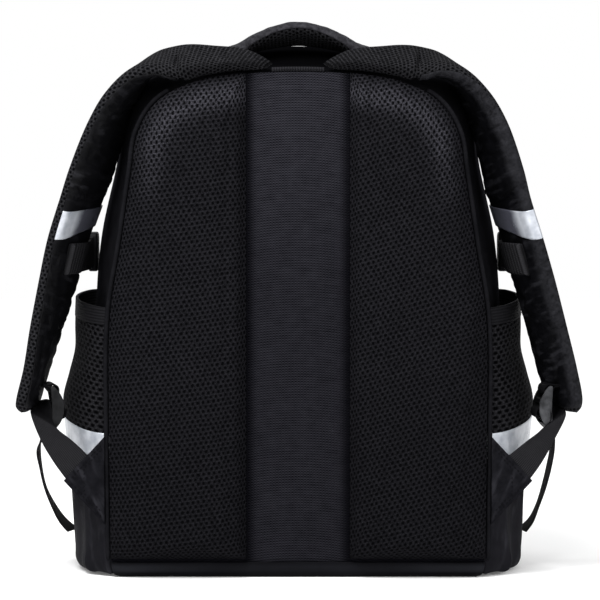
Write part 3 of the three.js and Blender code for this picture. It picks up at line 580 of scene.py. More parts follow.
def air_mesh(name, pitch, row, hole, dark, light, depth, pull_highlight=0.0):
    """Knitted air mesh: oval holes in rows, every other row moved half a pitch, each hole of its own size, in
    uneven yarn that is lighter between the rows and on the bridges between the holes. With a pull highlight
    factor the mesh gets painted shade towards its bottom, as of light from above, and where the piece's pull
    attribute is high the yarn is drawn open and gets a painted highlight, lighter by that factor."""
    f = Finish(name, Roughness=0.85, Specular_IOR_Level=0.02)
    x, y = f.cloth()
    line = y / row + 0.16 * (f.cloud(5, 2.0) - 0.5)
    shift = (line.floor() * 0.5).part()
    place_across = x / pitch + shift + 0.2 * (f.cloud(4, 2.0, 0.6) - 0.5)
    cell = f.node("ShaderNodeCombineXYZ", {}, [place_across.floor(), line.floor(), 0.0])
    chance = f.node("ShaderNodeTexWhiteNoise", {"noise_dimensions": "2D"}, {"Vector": cell})
    across = (place_across.part() - 0.5) * (pitch / hole[0])
    along = (line.part() - 0.5) * (row / hole[1])
    if pull_highlight:
        pull = f.node("ShaderNodeAttribute", {"attribute_name": "pull"}, {}, "Fac")
        across, along = across * (1 + 0.15 * pull), along / (1 + 0.45 * pull)
    reach = (across * across + along * along).root() * (0.88 + 0.3 * chance)
    solid = reach.ramp(0.45, 1.3)
    float_yarn = (line.part() - 0.5).size().ramp(0.3, 0.48)
    yarn = f.cloud(1.25, 2.0, 0.75).ramp(0.3, 0.7) * 0.75 + f.cloud(14, 2.0) * 0.25
    bridge = (place_across.part() - 0.5).size().ramp(0.26, 0.46)
    ridge = solid * (0.12 + 0.7 * yarn + 0.4 * float_yarn * yarn + 0.35 * bridge * yarn)
    # Painted shade: the pad mesh is painted darker towards its bottom, as of light from above.
    if pull_highlight:
        ridge = ridge * (0.78 + 0.22 * y.ramp(40, 230))
    colour = f.blend(ridge, dark, light)
    # Painted highlight: where the pull attribute is high the yarn is painted lighter, as if lit on the pad's
    # rolled top edge.
    if pull_highlight:
        colour = f.blend(pull * ridge * (0.35 + 0.65 * yarn), colour, tuple(pull_highlight * c for c in light))
    f.feed("Base Color", colour)
    f.relief(solid + 0.4 * yarn, depth, 0.9)
    return f.material


def plain_weave(name, pitch, dark, light, painted_shade, **constants):
    """Plain weave: a chequer of threads that lie on top by turns, the product of a sine across and a sine
    along, over level threads that bow a little between the sides, with slubs along them. Between the two given
    distances from the middle the cloth is painted darker as shade beside the pads, and it has painted shade
    towards the bottom, as of light from above."""
    f = Finish(name, **constants)
    x, y = f.cloth()
    level = y + x * x * 0.0022 + 0.5 * f.cloud(40, 2.0)
    weft = (level * (math.pi / pitch[1])).sine()
    turn = weft * (x * (math.pi / pitch[0])).sine()
    slub = f.streaks(x * 0.06, level * 0.8, 2.0)
    shade = (0.75 * turn + 0.55 * weft).ramp(-0.8, 0.8) * 0.8 + slub * 0.45 + 0.4 * (f.cloud(8, 3.0) - 0.5)
    # Painted shade: darker along the pads' sides and towards the bottom.
    shade = shade * (1 - 0.75 * x.size().ramp(*painted_shade)) * (0.7 + 0.3 * y.ramp(180, 380))
    f.feed("Base Color", f.blend(shade, dark, light))
    f.relief(turn, 0.3, 0.9)
    return f.material


def smooth_nylon(name, dark, light, grain=16, lit_edge=None, shaded=None, fold_sheen=None, **constants):
    """Close-woven nylon: a fine thread line both ways, cloudy sheen and slight puckers. Lit edge gives the
    colour of a painted highlight along the cloth's first edge and how far it reaches. Shaded gives the heights
    between which the cloth under the handle turns to a painted shadow. Fold sheen gives the colour of painted
    sheen along soft folds and the angle that they run at."""
    f = Finish(name, **constants)
    x, y = f.cloth()
    thread = (x * (math.pi / 0.55)).sine().size() * (y * (math.pi / 0.55)).sine().size()
    cloud = f.cloud(grain, 4.0, 0.6)
    shade = (cloud * 0.8 + thread * 0.35).ramp(0.2, 1.0)
    colour = f.blend(shade, dark, light)
    # Painted sheen: pale streaks along soft folds, in place of the light that the folds catch.
    if fold_sheen:
        paler, angle = fold_sheen
        cosine, sine = math.cos(math.radians(angle)), math.sin(math.radians(angle))
        crease = f.streaks((x * cosine + y * sine) * 0.035, (y * cosine - x * sine) * 0.17)
        colour = f.blend(crease.ramp(0.48, 0.72) * f.cloud(20, 2.0).ramp(0.3, 0.65), colour, paler)
    # Painted highlight: the cloth is painted lighter along its first edge, where the strap's rounded near edge
    # catches light.
    if lit_edge:
        paler, reach = lit_edge
        streak = f.streaks(x * 0.09 + y * 0.03, y * 0.2 - x * 0.11)
        highlight_spots = streak.ramp(0.25, 0.75) * 0.55 + f.cloud(2.2, 3.0, 0.7).ramp(0.3, 0.7) * 0.45
        near_edge = 1 - (x + 10 * (streak - 0.5)).ramp(0.4 * reach, reach)
        colour = f.blend(near_edge * highlight_spots, colour, paler)
    # Painted shadow: the body nylon under the handle is painted darker, as in the handle's shade.
    if shaded:
        out, back, height = f.spot()
        beside, behind = out.size().ramp(0.06, 0.1), back.ramp(-0.02, 0.025)
        under = height.ramp(*(h * MM for h in shaded)) * (1 - beside) * (1 - behind)
        colour = f.blend(under, colour, tuple(0.3 * c for c in dark))
    f.feed("Base Color", colour)
    f.feed("Roughness", 0.48 + 0.25 * cloud)
    f.relief(cloud * 0.8 + thread * 0.12, 0.05 * grain, 0.6)
    return f.material


def coated_cloth(name, dark, light, sheen, heights):
    """Coated base cloth: a fine even grain with a soft painted sheen round its rounded edge, which comes in
    between the first two heights, goes between the last two and is strongest towards the corners."""
    f = Finish(name, Specular_IOR_Level=0.03)
    grain, cloud = f.cloud(1.2, 2.0), f.cloud(30, 3.0)
    colour = f.blend((cloud * 0.6 + grain * 0.5).ramp(0.3, 0.8), dark, light)
    out, _, height = f.spot()
    low, full, fading, gone = (h * MM for h in heights)
    corner = 0.3 + 0.7 * out.size().ramp(0.06, 0.13)
    band = height.ramp(low, full) * (1 - height.ramp(fading, gone)) * corner
    # Painted sheen: a paler band round the base's rounded edge.
    f.feed("Base Color", f.blend(band * (0.6 + 0.6 * (cloud - 0.3)), colour, sheen))
    f.feed("Roughness", 0.45 + 0.25 * cloud)
    f.relief(grain, 0.1, 0.5)
    return f.material


def ribbed_webbing(name, dark, light, rib, pick, painted_shade=None):
    """Webbing: ribs along the tape, each crossed by short picks that step from rib to rib. Painted shade gives
    four
    distances along the tape: between the second and third it is painted darker as shade."""
    f = Finish(name, Roughness=0.75, Specular_IOR_Level=0.04)
    x, y = f.cloth()
    ribs = x / rib
    rounded = (ribs * math.pi).sine().size()
    step = (y / pick + (ribs.floor() * 0.5).part()).part()
    picks = 1 - (step * 2 - 1) ** 2.0
    height = rounded * (0.6 + 0.4 * picks)
    shade = height * 0.8 + 0.3 * f.cloud(5, 3.0)
    # Painted shade: the tape is painted darker between the middle two distances.
    if painted_shade:
        shade = shade * (1 - 0.85 * y.ramp(*painted_shade[:2]) * (1 - y.ramp(*painted_shade[2:])))
    f.feed("Base Color", f.blend(shade, dark, light))
    f.relief(height, 0.35, 0.9)
    return f.material


def silver_tape(name, shaded_beyond=None):
    """Reflective tape: fine glass beads in rows on silver, with a cloudy bloom. Shaded beyond gives the
    distances from the first edge between which the silver turns to a painted grey shade."""
    f = Finish(name, Metallic=0.3, Specular_IOR_Level=0.4, Coat_Roughness=0.15)
    x, y = f.cloth()
    bead = (x * (math.pi / 0.9)).sine().size() * (y * (math.pi / 0.9)).sine().size()
    cloud = f.cloud(11, 3.0)
    colour = f.blend(cloud.ramp(0.3, 0.75), (0.30, 0.32, 0.36), (0.52, 0.54, 0.58))
    # Painted shade: away from its lit near edge the silver is painted grey.
    if shaded_beyond:
        colour = f.blend((x + 14 * (cloud - 0.5)).ramp(*shaded_beyond), colour, (0.07, 0.072, 0.092))
    f.feed("Base Color", colour)
    f.feed("Roughness", 0.2 + 0.22 * cloud)
    f.shader.inputs["Coat Weight"].default_value = 0.25
    f.relief(bead * 0.3 + cloud, 0.5, 0.35)
    return f.material


def moulded_plastic(name, dark, light, rough, near=0):
    """Satin moulded plastic: spark grain, flow clouding and rubbed high spots. Near gives the side of the
    buckle, -1 or 1, whose rail keeps the colour while the rest of the buckle is painted near-black as shade."""
    f = Finish(name, Specular_IOR_Level=0.06)
    grain = f.cloud(0.5, 2.0)
    cloud = f.cloud(7, 4.0)
    colour = f.blend((cloud * 0.7 + grain * 0.3).ramp(0.3, 0.7), dark, light)
    # Painted shade: all of the buckle but its near rail is painted near-black.
    if near:
        rail = (f.cloth()[0] * near).ramp(11, 13.4)
        colour = f.blend(rail, (0.0010, 0.0010, 0.0012), colour)
    f.feed("Base Color", colour)
    f.feed("Roughness", rough + 0.2 * (cloud - 0.5) + 0.1 * grain)
    f.relief(grain, 0.08, 0.5)
    return f.material


def thread(name, colour):
    """Sewing thread: two plies twisted round each other."""
    f = Finish(name, Roughness=0.8, Specular_IOR_Level=0.02)
    x, y = f.cloth()
    twist = ((x * 2.0 + y * 3.0) * math.pi).sine() * 0.5 + 0.5
    f.feed("Base Color", f.blend(twist, tuple(0.5 * c for c in colour), colour))
    f.relief(twist, 0.1, 0.6)
    return f.material


def pale_floor():
    """Pale matt floor with the faintest cloudiness."""
    f = Finish("pale floor", Roughness=0.9, Specular_IOR_Level=0.0)
    f.shader.inputs["Emission Color"].default_value = (1, 1, 1, 1)
    f.shader.inputs["Emission Strength"].default_value = 0.1
    f.feed("Base Color", f.blend(f.cloud(300), (0.9, 0.9, 0.9), (0.94, 0.94, 0.94)))
    return f.material


# The last number is the strength of the pad mesh's painted highlight.
PAD_MESH = air_mesh("pad air mesh", 4.06, 3.4, (1.0, 1.22),
                    (0.0006, 0.0006, 0.0009), (0.0101, 0.0099, 0.0119), 0.9, 4.0)
STRAP_MESH = air_mesh("strap air mesh", 3.6, 3.0, (1.1, 1.05),
                      (0.0005, 0.0005, 0.0007), (0.0185, 0.0184, 0.0205), 0.8)
POCKET_MESH = air_mesh("pocket net", 7.2, 3.5, (2.5, 1.35),
                       (0.0003, 0.0003, 0.0005), (0.0175, 0.0173, 0.0195), 1.0)
# (30, 39): distances from the middle of the painted shade beside the pads.
CHANNEL_WEAVE = plain_weave("back weave", (1.19, 0.98), (0.0004, 0.0004, 0.0008), (0.0215, 0.0211, 0.0262),
                            (30, 39), Roughness=0.85, Specular_IOR_Level=0.0)
# The body nylon gets a painted shadow under the handle between these heights.
NYLON = smooth_nylon("body nylon", (0.0036, 0.0036, 0.0043), (0.0110, 0.0109, 0.0128),
                     shaded=(378, 392), Specular_IOR_Level=0.0)
FRONT_NYLON = smooth_nylon("front nylon", (0.0085, 0.0085, 0.0100), (0.0190, 0.0188, 0.0220), 26,
                           Specular_IOR_Level=0.08)
# Pocket, anchor and strap nylon carry painted sheen along their folds.
POCKET_NYLON = smooth_nylon("pocket nylon", (0.0040, 0.0039, 0.0050), (0.0122, 0.0120, 0.0148),
                            fold_sheen=((0.0172, 0.0170, 0.0205), 84), Specular_IOR_Level=0.015)
ANCHOR_NYLON = smooth_nylon("anchor nylon", (0.0018, 0.0018, 0.0025), (0.0100, 0.0099, 0.0122), 6,
                            fold_sheen=((0.0172, 0.0170, 0.0205), 62), Specular_IOR_Level=0.015)
LINING = {
    "left": smooth_nylon("left strap nylon", (0.0004, 0.0004, 0.0006), (0.0036, 0.0036, 0.0047),
                         fold_sheen=((0.0100, 0.0100, 0.0120), 8), Specular_IOR_Level=0.07),
    # The right strap's nylon is painted lighter along its near edge as a highlight.
    "right": smooth_nylon("right strap nylon", (0.0004, 0.0004, 0.0006), (0.0026, 0.0026, 0.0036), 10,
                          lit_edge=((0.0165, 0.0165, 0.0195), 13), fold_sheen=((0.0125, 0.0125, 0.0150), 12),
                          Specular_IOR_Level=0.05),
}
HANDLE_NYLON = smooth_nylon("handle nylon", (0.0020, 0.0020, 0.0026), (0.0420, 0.0415, 0.0470), 3.2,
                            Specular_IOR_Level=0.02)
COATED = coated_cloth("coated base", (0.0012, 0.0012, 0.0017), (0.0032, 0.0032, 0.0044),
                      (0.0140, 0.0146, 0.0178), (2.5, 6.0, 8.0, 12.0))
# The four distances put the painted shade where the webbing turns round the buckle.
WEBBING = ribbed_webbing("webbing", (0.0014, 0.0014, 0.0018), (0.0165, 0.0163, 0.0182), 1.5, 1.3,
                         (45, 47.5, 96, 112))
CHEST_WEB = ribbed_webbing("chest webbing", (0.0006, 0.0006, 0.0008), (0.0225, 0.0222, 0.0245), 4.6, 1.5)
LOOP_WEB = ribbed_webbing("loop webbing", (0.0006, 0.0006, 0.0008), (0.0040, 0.0040, 0.0048), 1.8, 1.4)
HEM = ribbed_webbing("elastic hem", (0.0022, 0.0022, 0.0026), (0.0105, 0.0103, 0.0120), 2.2, 0.9)
BINDING = ribbed_webbing("binding tape", (0.0020, 0.0020, 0.0026), (0.0150, 0.0148, 0.0170), 2.0, 0.9)
ZIP = ribbed_webbing("zip tape", (0.0016, 0.0016, 0.0020), (0.0064, 0.0064, 0.0074), 0.8, 0.7)
# (17, 30): where the strap tape turns to painted grey shade, away from its lit near edge.
SILVER = silver_tape("silver tape", (17, 30))
POCKET_SILVER = silver_tape("pocket silver strip")
# The same buckle plastic twice: the left copy is painted darker as shade, the right copy painted lighter as
# lit.
SHADED_AND_LIT_LOCK_PLASTIC = {
    "left": moulded_plastic("left buckle plastic, painted shade", (0.0040, 0.0041, 0.0044), (0.0135, 0.0137, 0.0148),
                            0.42, near=-1),
    "right": moulded_plastic("right buckle plastic, painted light", (0.0160, 0.0165, 0.0178), (0.0560, 0.0570, 0.0615),
                             0.42, near=1),
}
DARK_PLASTIC = moulded_plastic("black plastic", (0.0020, 0.0020, 0.0025), (0.0055, 0.0055, 0.0065), 0.45)
THREAD = thread("dark thread", (0.0062, 0.0062, 0.0075))


# Bands: padded straps, webbing and tape

class Band:
    """A strip between two edge curves: at each share its middle, half width, and the directions across,
    along and out of its outer face."""

    def __init__(self, near, far, shares, sign=1):
        self.shares = shares
        self.near, self.far = curve(near, shares), curve(far, shares)
        self.middle = (self.near + self.far) / 2
        self.half = np.linalg.norm(self.far - self.near, axis=-1, keepdims=True) / 2
        self.across = unit(self.far - self.near)
        self.along = unit(np.gradient(self.middle, axis=0))
        self.out = unit(np.cross(self.along, self.across)) * sign
        self.length = run_length(self.middle)

    def section(self, across, rise):
        """Points of cross-sections: a share across the half width, and a rise out of the middle plane in
        millimetres."""
        step = self.half[:, None] * np.atleast_2d(across)[..., None]
        lift = np.atleast_2d(rise)[..., None]
        return self.middle[:, None] + step * self.across[:, None] + lift * self.out[:, None]


def rounded_oblong(turn, half, square):
    """Share across and rise at shares of a full turn: the share across to the power square and the rise over
    the half thickness to the power 2.4 add up to 1. The turn runs from the far edge over the outer face to the
    near edge and back along the inner face."""
    c, w = np.cos(2 * math.pi * turn), np.sin(2 * math.pi * turn)
    return np.sign(c) * np.abs(c) ** (2 / square), half * np.sign(w) * np.abs(w) ** (2 / 2.4)


def padded_section(half, span, square=4.0, start=0.0, end=1.0, count=64):
    """Cross-section of a padded strip: a rounded oblong from a start to an end share of its turn, in even
    steps."""
    across, rise = rounded_oblong(np.linspace(start, end, 4001), half, square)
    way = run_length(join(span * across, rise))
    at = np.linspace(0, way[-1], count + 1)[: count if end - start >= 1 else count + 1]
    return np.interp(at, way, across), np.interp(at, way, rise)


def end_taper(count, steps):
    """A factor of 1 along a strip that falls to 0 on a quarter circle over the last steps at both ends."""
    ramp = np.minimum(np.arange(count), np.arange(count)[::-1]) / steps
    return np.sqrt(np.clip(1 - (1 - np.minimum(ramp, 1)) ** 2, 0, 1))


def closed_band(band, across, rise, taper_steps=5, swell=1.0):
    """The closed skin of a strip: its cross-section carried along it, thinned to a line at both ends. Swell
    is a factor on the thickness, over the whole skin or point by point."""
    thin = end_taper(len(band.shares), taper_steps)
    grid = band.section(across, thin[:, None] * rise[None] * swell)
    reach = band.half.mean() * across
    round_length = run_length(join(reach, rise))
    wrap = np.append(round_length, round_length[-1] + math.hypot(reach[-1] - reach[0], rise[-1] - rise[0]))
    uv = join(wrap, band.length[:, None])
    return patch(grid, uv, loop_v=True)


def face_strip(band, across, rise, low, high, folds=0.0, swell=1.0, slack=None):
    """A thin closed cloth on part of a strip's cross-section, from low to high millimetres above it, with
    folds added to its upper face. Slack gives the rows that are held flat, and then the upper face is settled
    as a loose cloth between its edges."""
    shape = len(band.shares), np.shape(across)[-1]
    across, rise = np.broadcast_to(across, shape), np.broadcast_to(rise, shape)
    section = join(band.half.mean() * across, rise)
    edges = np.gradient(section, axis=1)
    normal = unit(join(edges[..., 1], -edges[..., 0]))
    base = band.section(across, rise * np.broadcast_to(swell, shape))
    side = normal[..., :1] * band.across[:, None] + normal[..., 1:] * band.out[:, None]

    def lifted(amount):
        return base + np.broadcast_to(amount, shape)[..., None] * side

    upper, lower = lifted(high + folds), lifted(low)
    if slack is not None:
        held = np.broadcast_to(slack[:, None], shape).copy()
        held[[0, -1]] = held[:, [0, -1]] = True
        upper = settle(upper, lower, held, *STRAP_SLACK)
    wide = run_length(section.transpose(1, 0, 2)).T
    uv = join(wide, band.length[:, None])
    return shell(upper, lower, uv)


def stitches(name, lines, pitch=3.6, length=2.5, radius=0.28):
    """Rows of stitches: on each line of points, short rods whose ends taper and dip into the cloth. A line
    holds points and the direction out of the cloth."""
    sides = 6
    turn = np.linspace(0, 2 * math.pi, sides, endpoint=False)
    along = np.linspace(-0.5, 0.5, 5)
    fat = np.array([0.25, 0.9, 1.0, 0.9, 0.25])
    sink = np.array([-1.2, 0.1, 0.4, 0.1, -1.2])
    patches = []
    for points, outward in lines:
        distance = run_length(points)
        at = np.arange(pitch / 2, distance[-1], pitch)
        spot = read_line(at, distance, points)
        way = unit(read_line(at + 0.5, distance, points) - read_line(at - 0.5, distance, points))
        out = unit(read_line(at, distance, outward))
        side = np.cross(way, out)
        ring = np.cos(turn)[:, None, None, None] * side + np.sin(turn)[:, None, None, None] * out
        rods = (spot + along[:, None, None] * length * way + (sink * radius)[:, None, None] * out)[None]
        rods = rods + radius * fat[None, :, None, None] * ring.reshape(sides, 1, -1, 3)
        for k in range(rods.shape[2]):
            grid = rods[:, :, k].transpose(1, 0, 2)
            tips = grid.mean(1, keepdims=True)
            grid = np.concatenate([np.repeat(tips[:1], sides, 1), grid, np.repeat(tips[-1:], sides, 1)])
            uv = join(np.arange(sides + 1) * 0.3, np.arange(len(grid))[:, None] * 0.5)
            patches.append(patch(grid, uv, loop_v=True))
    return make(name, THREAD, *patches)


# Camera, light and floor

def make_camera():
    lens = bpy.data.cameras.new("camera")
    lens.sensor_width = SENSOR
    lens.lens = SENSOR * CAMERA_DISTANCE / (IMAGE_PX * PX_MM)
    lens.clip_end = 50
    camera = bpy.data.objects.new("camera", lens)
    forward = np.array([0, math.cos(CAMERA_RISE), -math.sin(CAMERA_RISE)])
    camera.location = (AIM - forward * CAMERA_DISTANCE) * MM
    camera.rotation_euler = (math.pi / 2 - CAMERA_RISE, 0, 0)
    bpy.context.scene.collection.objects.link(camera)
    bpy.context.scene.camera = camera


def make_light(name, spot, size, power, aim=(0, 0, 0.2)):
    lamp = bpy.data.lights.new(name, "AREA")
    lamp.shape = "DISK"
    lamp.size = size
    lamp.energy = power
    light = bpy.data.objects.new(name, lamp)
    light.location = spot
    way = np.asarray(aim, float) - np.asarray(spot, float)
    flat = math.hypot(way[0], way[1])
    light.rotation_euler = (math.atan2(flat, -way[2]), 0, math.atan2(way[1], way[0]) - math.pi / 2)
    bpy.context.scene.collection.objects.link(light)


def make_studio():
    scene = bpy.context.scene
    scene.view_settings.view_transform = "Standard"
    world = bpy.data.worlds.new("studio")
    world.use_nodes = True
    world.node_tree.nodes["Background"].inputs[0].default_value = (1, 1, 1, 1)
    world.node_tree.nodes["Background"].inputs[1].default_value = 1.0
    scene.world = world
    make_light("key", (-0.35, -0.62, 1.2), 0.7, 21)
    make_light("fill", (1.3, -1.3, 0.8), 0.9, 7)
    reach = np.linspace(-4000, 4000, 9)
    across, deep = lattice(reach, reach)
    grid = join(across, deep, 0.0)
    floor = make("floor", pale_floor(), patch(grid, grid[..., :2]))
    if floor.data.polygons[0].normal.z < 0:
        floor.data.flip_normals()


# Body of the bag

def make_gusset():
    """Side and top band: the body's face from the back seam to the zip, with shallow folds between the
    seams."""
    share, y = lattice(np.linspace(0, 1, 241), np.linspace(BACK_Y, ZIP_BACK_Y, 31))
    around = run_length(body_point(share, y))
    slack = np.sin(math.pi * (y - BACK_Y) / (ZIP_BACK_Y - BACK_Y)) ** 0.7
    fold = 0.7 * ripple(around * 0.6, y, 3, 9, (60, 170)) * slack
    outer = body_offset(share, y, -fold * 0.6)
    inner = body_offset(share, y, CLOTH - fold * 0.6)
    uv = join(y, around)
    gusset = make("side_gusset_cloth", NYLON, shell(outer, inner, uv))
    place(gusset, "nylon", "side_gusset")


def make_zip():
    """Zip tape round the body, and its coil: a half-round bead whose turns stand proud by turns."""
    share, y = lattice(np.linspace(0, 1, 241), np.linspace(ZIP_BACK_Y + 0.4, ZIP_FRONT_Y, 13))
    around = run_length(body_point(share, y))
    outer = body_offset(share, y, np.zeros_like(y))
    uv = join(y, around)
    tape = make("zip_tape_cloth", ZIP, shell(outer, body_offset(share, y, np.full(y.shape, CLOTH)), uv))
    place(tape, "webbing", "zip_tape")

    path = np.linspace(0.17, 0.83, 1801)
    distance = run_length(body_point(path, ZIP_COIL_Y))
    turn = np.linspace(0, math.pi, 9)
    tooth = np.sin(2 * math.pi * distance / ZIP_TOOTH)[:, None]
    wave = 1 + 0.16 * tooth * np.sign(np.cos(turn) + 1e-9)
    width = ZIP_COIL_Y + 0.35 * tooth + 2.1 * np.cos(turn) * wave
    rise = 0.1 + 1.7 * np.sin(turn) * wave
    upper = body_offset(path[:, None] + 0 * turn, width, -rise)
    lower = body_offset(path[:, None] + 0 * turn, width, np.full(width.shape, 0.05))
    uv = join(turn * 2.0, distance[:, None])
    place(make("zip_coil", DARK_PLASTIC, shell(upper, lower, uv)), "webbing")


def make_zip_slider():
    """Slider and pull on the closed zip: two small rounded strips along the top of the body."""
    patches = []
    for start, end, wide, half, lift in ((-4, -16, 8, 1.2, 3.4), (-15, -41, 6.4, 0.7, 3.3)):
        x = np.linspace(start, end, 9)
        rows = [body_offset(share_where(y, 0, x), y, np.full(x.shape, -lift))
                for y in (ZIP_COIL_Y - wide / 2, ZIP_COIL_Y + wide / 2)]
        strip = Band(rows[0], rows[1], np.linspace(0, 1, 25))
        patches.append(closed_band(strip, *padded_section(half, wide / 2, 4.0, count=24), taper_steps=3))
    place(make("zip_slider_body", DARK_PLASTIC, *patches), "plastic", "zip_slider")


def make_front():
    """Front panel: the zip line drawn in ring by ring towards the middle of the base, with a soft swell."""
    share, row = lattice(np.linspace(0, 1, 181), np.linspace(0, 1, 61) ** 1.6)
    ring = curve(FRONT, row)
    rim = body_point(share, np.full(share.shape, ZIP_FRONT_Y))
    scale = np.clip(ring[..., 0], 0, 1)
    outer = join(rim[..., 0] * scale, ring[..., 1], SEAM_Z + (rim[..., 2] - SEAM_Z) * scale)
    fold = 0.8 * ripple(outer[..., 0], outer[..., 2], 11, 8, (90, 200)) * smooth_step(row, 0.1, 0.5)
    outer[..., 1] += fold * (scale > 0)
    inner = outer.copy()
    inner[..., 1] -= CLOTH
    inner[..., 0] *= 1 - CLOTH / 146 * smooth_step(scale, 0.8, 1)
    inner[..., 2] -= CLOTH * smooth_step(scale, 0.8, 1) * (inner[..., 2] > SEAM_Z + 1)
    uv = outer[..., [0, 2]]
    front = make("front_cloth", FRONT_NYLON, shell(outer, inner, uv))
    place(front, "nylon", "front_panel")


def make_base():
    """Base tray: its plan carried through a rounded edge, outside and inside."""
    y = np.linspace(PANEL_BACK_Y, ZIP_FRONT_Y, 40)
    left = join(body_point(0, np.maximum(y, BACK_Y))[..., 0], y)
    ring = curve(FRONT, np.linspace(0.02, 1, 60))
    front = join(left[-1, 0] * np.clip(ring[:, 0], 0, 1), ring[:, 1])
    half = np.vstack([left, front])
    back = join(np.linspace(-left[0, 0], left[0, 0], 40)[1:-1], PANEL_BACK_Y)
    plan = np.vstack([half, half[-2::-1] * (-1, 1), back])
    row, under = (curve(BASE[:, k : k + 2], np.linspace(0, 1, 16)) for k in (0, 2))

    def tray(inset, height, floor):
        x = plan[:, :1] - np.sign(plan[:, :1]) * np.minimum(inset, np.abs(plan[:, :1]))
        deep = plan[:, 1:] * (1 + inset / PANEL_BACK_Y)
        side = join(x, deep, height)
        bottom = side[:, -1:] * np.linspace(1, 0, 8)[1:, None]
        bottom[..., 2] = floor
        return np.concatenate([side, bottom], 1)

    outer = tray(row[:, 0], np.maximum(row[:, 1], 0), 0.0)
    inner = tray(under[:, 0], under[:, 1], CLOTH)
    grid = np.concatenate([outer, inner[:, ::-1]], 1)
    uv = grid[..., :2] + grid[..., 2:] * 0.7
    closed = np.concatenate([uv, uv[:1]])
    closed = np.concatenate([closed, closed[:, :1]], 1)
    place(make("base_cloth", COATED, patch(grid, closed, loop_u=True, loop_v=True)), "coated", "base_panel")


def make_back_panel():
    """Woven back: the flat outline of the seam, swelling a little between the pads, with a shallow fold
    across it under the top seam."""
    rows = np.concatenate([np.linspace(SEAM_Z, 330, 90), np.linspace(330, 385.3, 50)[1:]])
    half = -body_point(share_where(BACK_Y, 2, rows), BACK_Y)[..., 0]
    across = np.linspace(-1, 1, 97)
    x = half[:, None] * across
    z = np.broadcast_to(rows[:, None], x.shape)
    channel = 1 - smooth_step(np.abs(x), 8, CHANNEL_HALF)
    swell = 3.4 * channel * smooth_step(z, 14, 60) * (1 - smooth_step(z, 345, 383))
    fold = 0.7 * bell(z - 0.02 * x, 372, 2.2) + 0.4 * bell(z + 0.03 * x, 366, 1.8)
    sag = 0.35 * ripple(x, z, 5, 7, (70, 190)) * channel
    outer = join(x, PANEL_BACK_Y - swell - fold * channel - sag, z)
    inner = join(x, PANEL_BACK_Y + PANEL_THICKNESS, z)
    panel = make("back_panel_cloth", CHANNEL_WEAVE, shell(outer, inner, outer[..., [0, 2]]))
    place(panel, "back_weave", "back_panel")
    wide, tall = float(2 * half.max() * MM), float((rows[-1] - rows[0]) * MM)


def pad_outline():
    """The left pad's edge along the back seam, from the bottom up to the channel."""
    top = share_where(BACK_Y, 0, -CHANNEL_HALF)
    bottom = share_where(BACK_Y, 2, PAD_BOTTOM)
    return body_offset(np.linspace(bottom, top, 400), BACK_Y, np.full(400, PAD_SEAM))[:, [0, 2]]


def nearest_on(line, points):
    """For each point of a flat array, the nearest spot on a line of points and the distance to it."""
    start, span = line[:-1], np.diff(line, axis=0)
    flat = points.reshape(-1, 1, 2)
    t = np.clip(((flat - start) * span).sum(-1) / np.maximum((span**2).sum(-1), 1e-9), 0, 1)
    foot = start + t[..., None] * span
    gap = np.linalg.norm(flat - foot, axis=-1)
    pick = np.arange(len(gap)), gap.argmin(1)
    return foot[pick].reshape(points.shape), gap[pick].reshape(points.shape[:-1])


def set_pull_and_highlight(pad, edge):
    """Marks where the mesh is drawn over the pad's upper edge: a band along the edge that fades down the
    side. There the pad mesh stretches its holes and paints a highlight."""
    count = len(pad.data.vertices)
    spots = np.empty(count * 3)
    pad.data.vertices.foreach_get("co", spots)
    spots = spots.reshape(-1, 3) / MM
    flat = join(-np.abs(spots[:, 0]), spots[:, 2])
    gap = nearest_on(edge, flat)[1]
    pull = bell(gap, 15, 9) * smooth_step(flat[:, 1], 270, 350)
    # The pull attribute also places the pad mesh's painted highlight.
    layer = pad.data.attributes.new("pull", "FLOAT", "POINT")
    layer.data.foreach_set("value", pull)


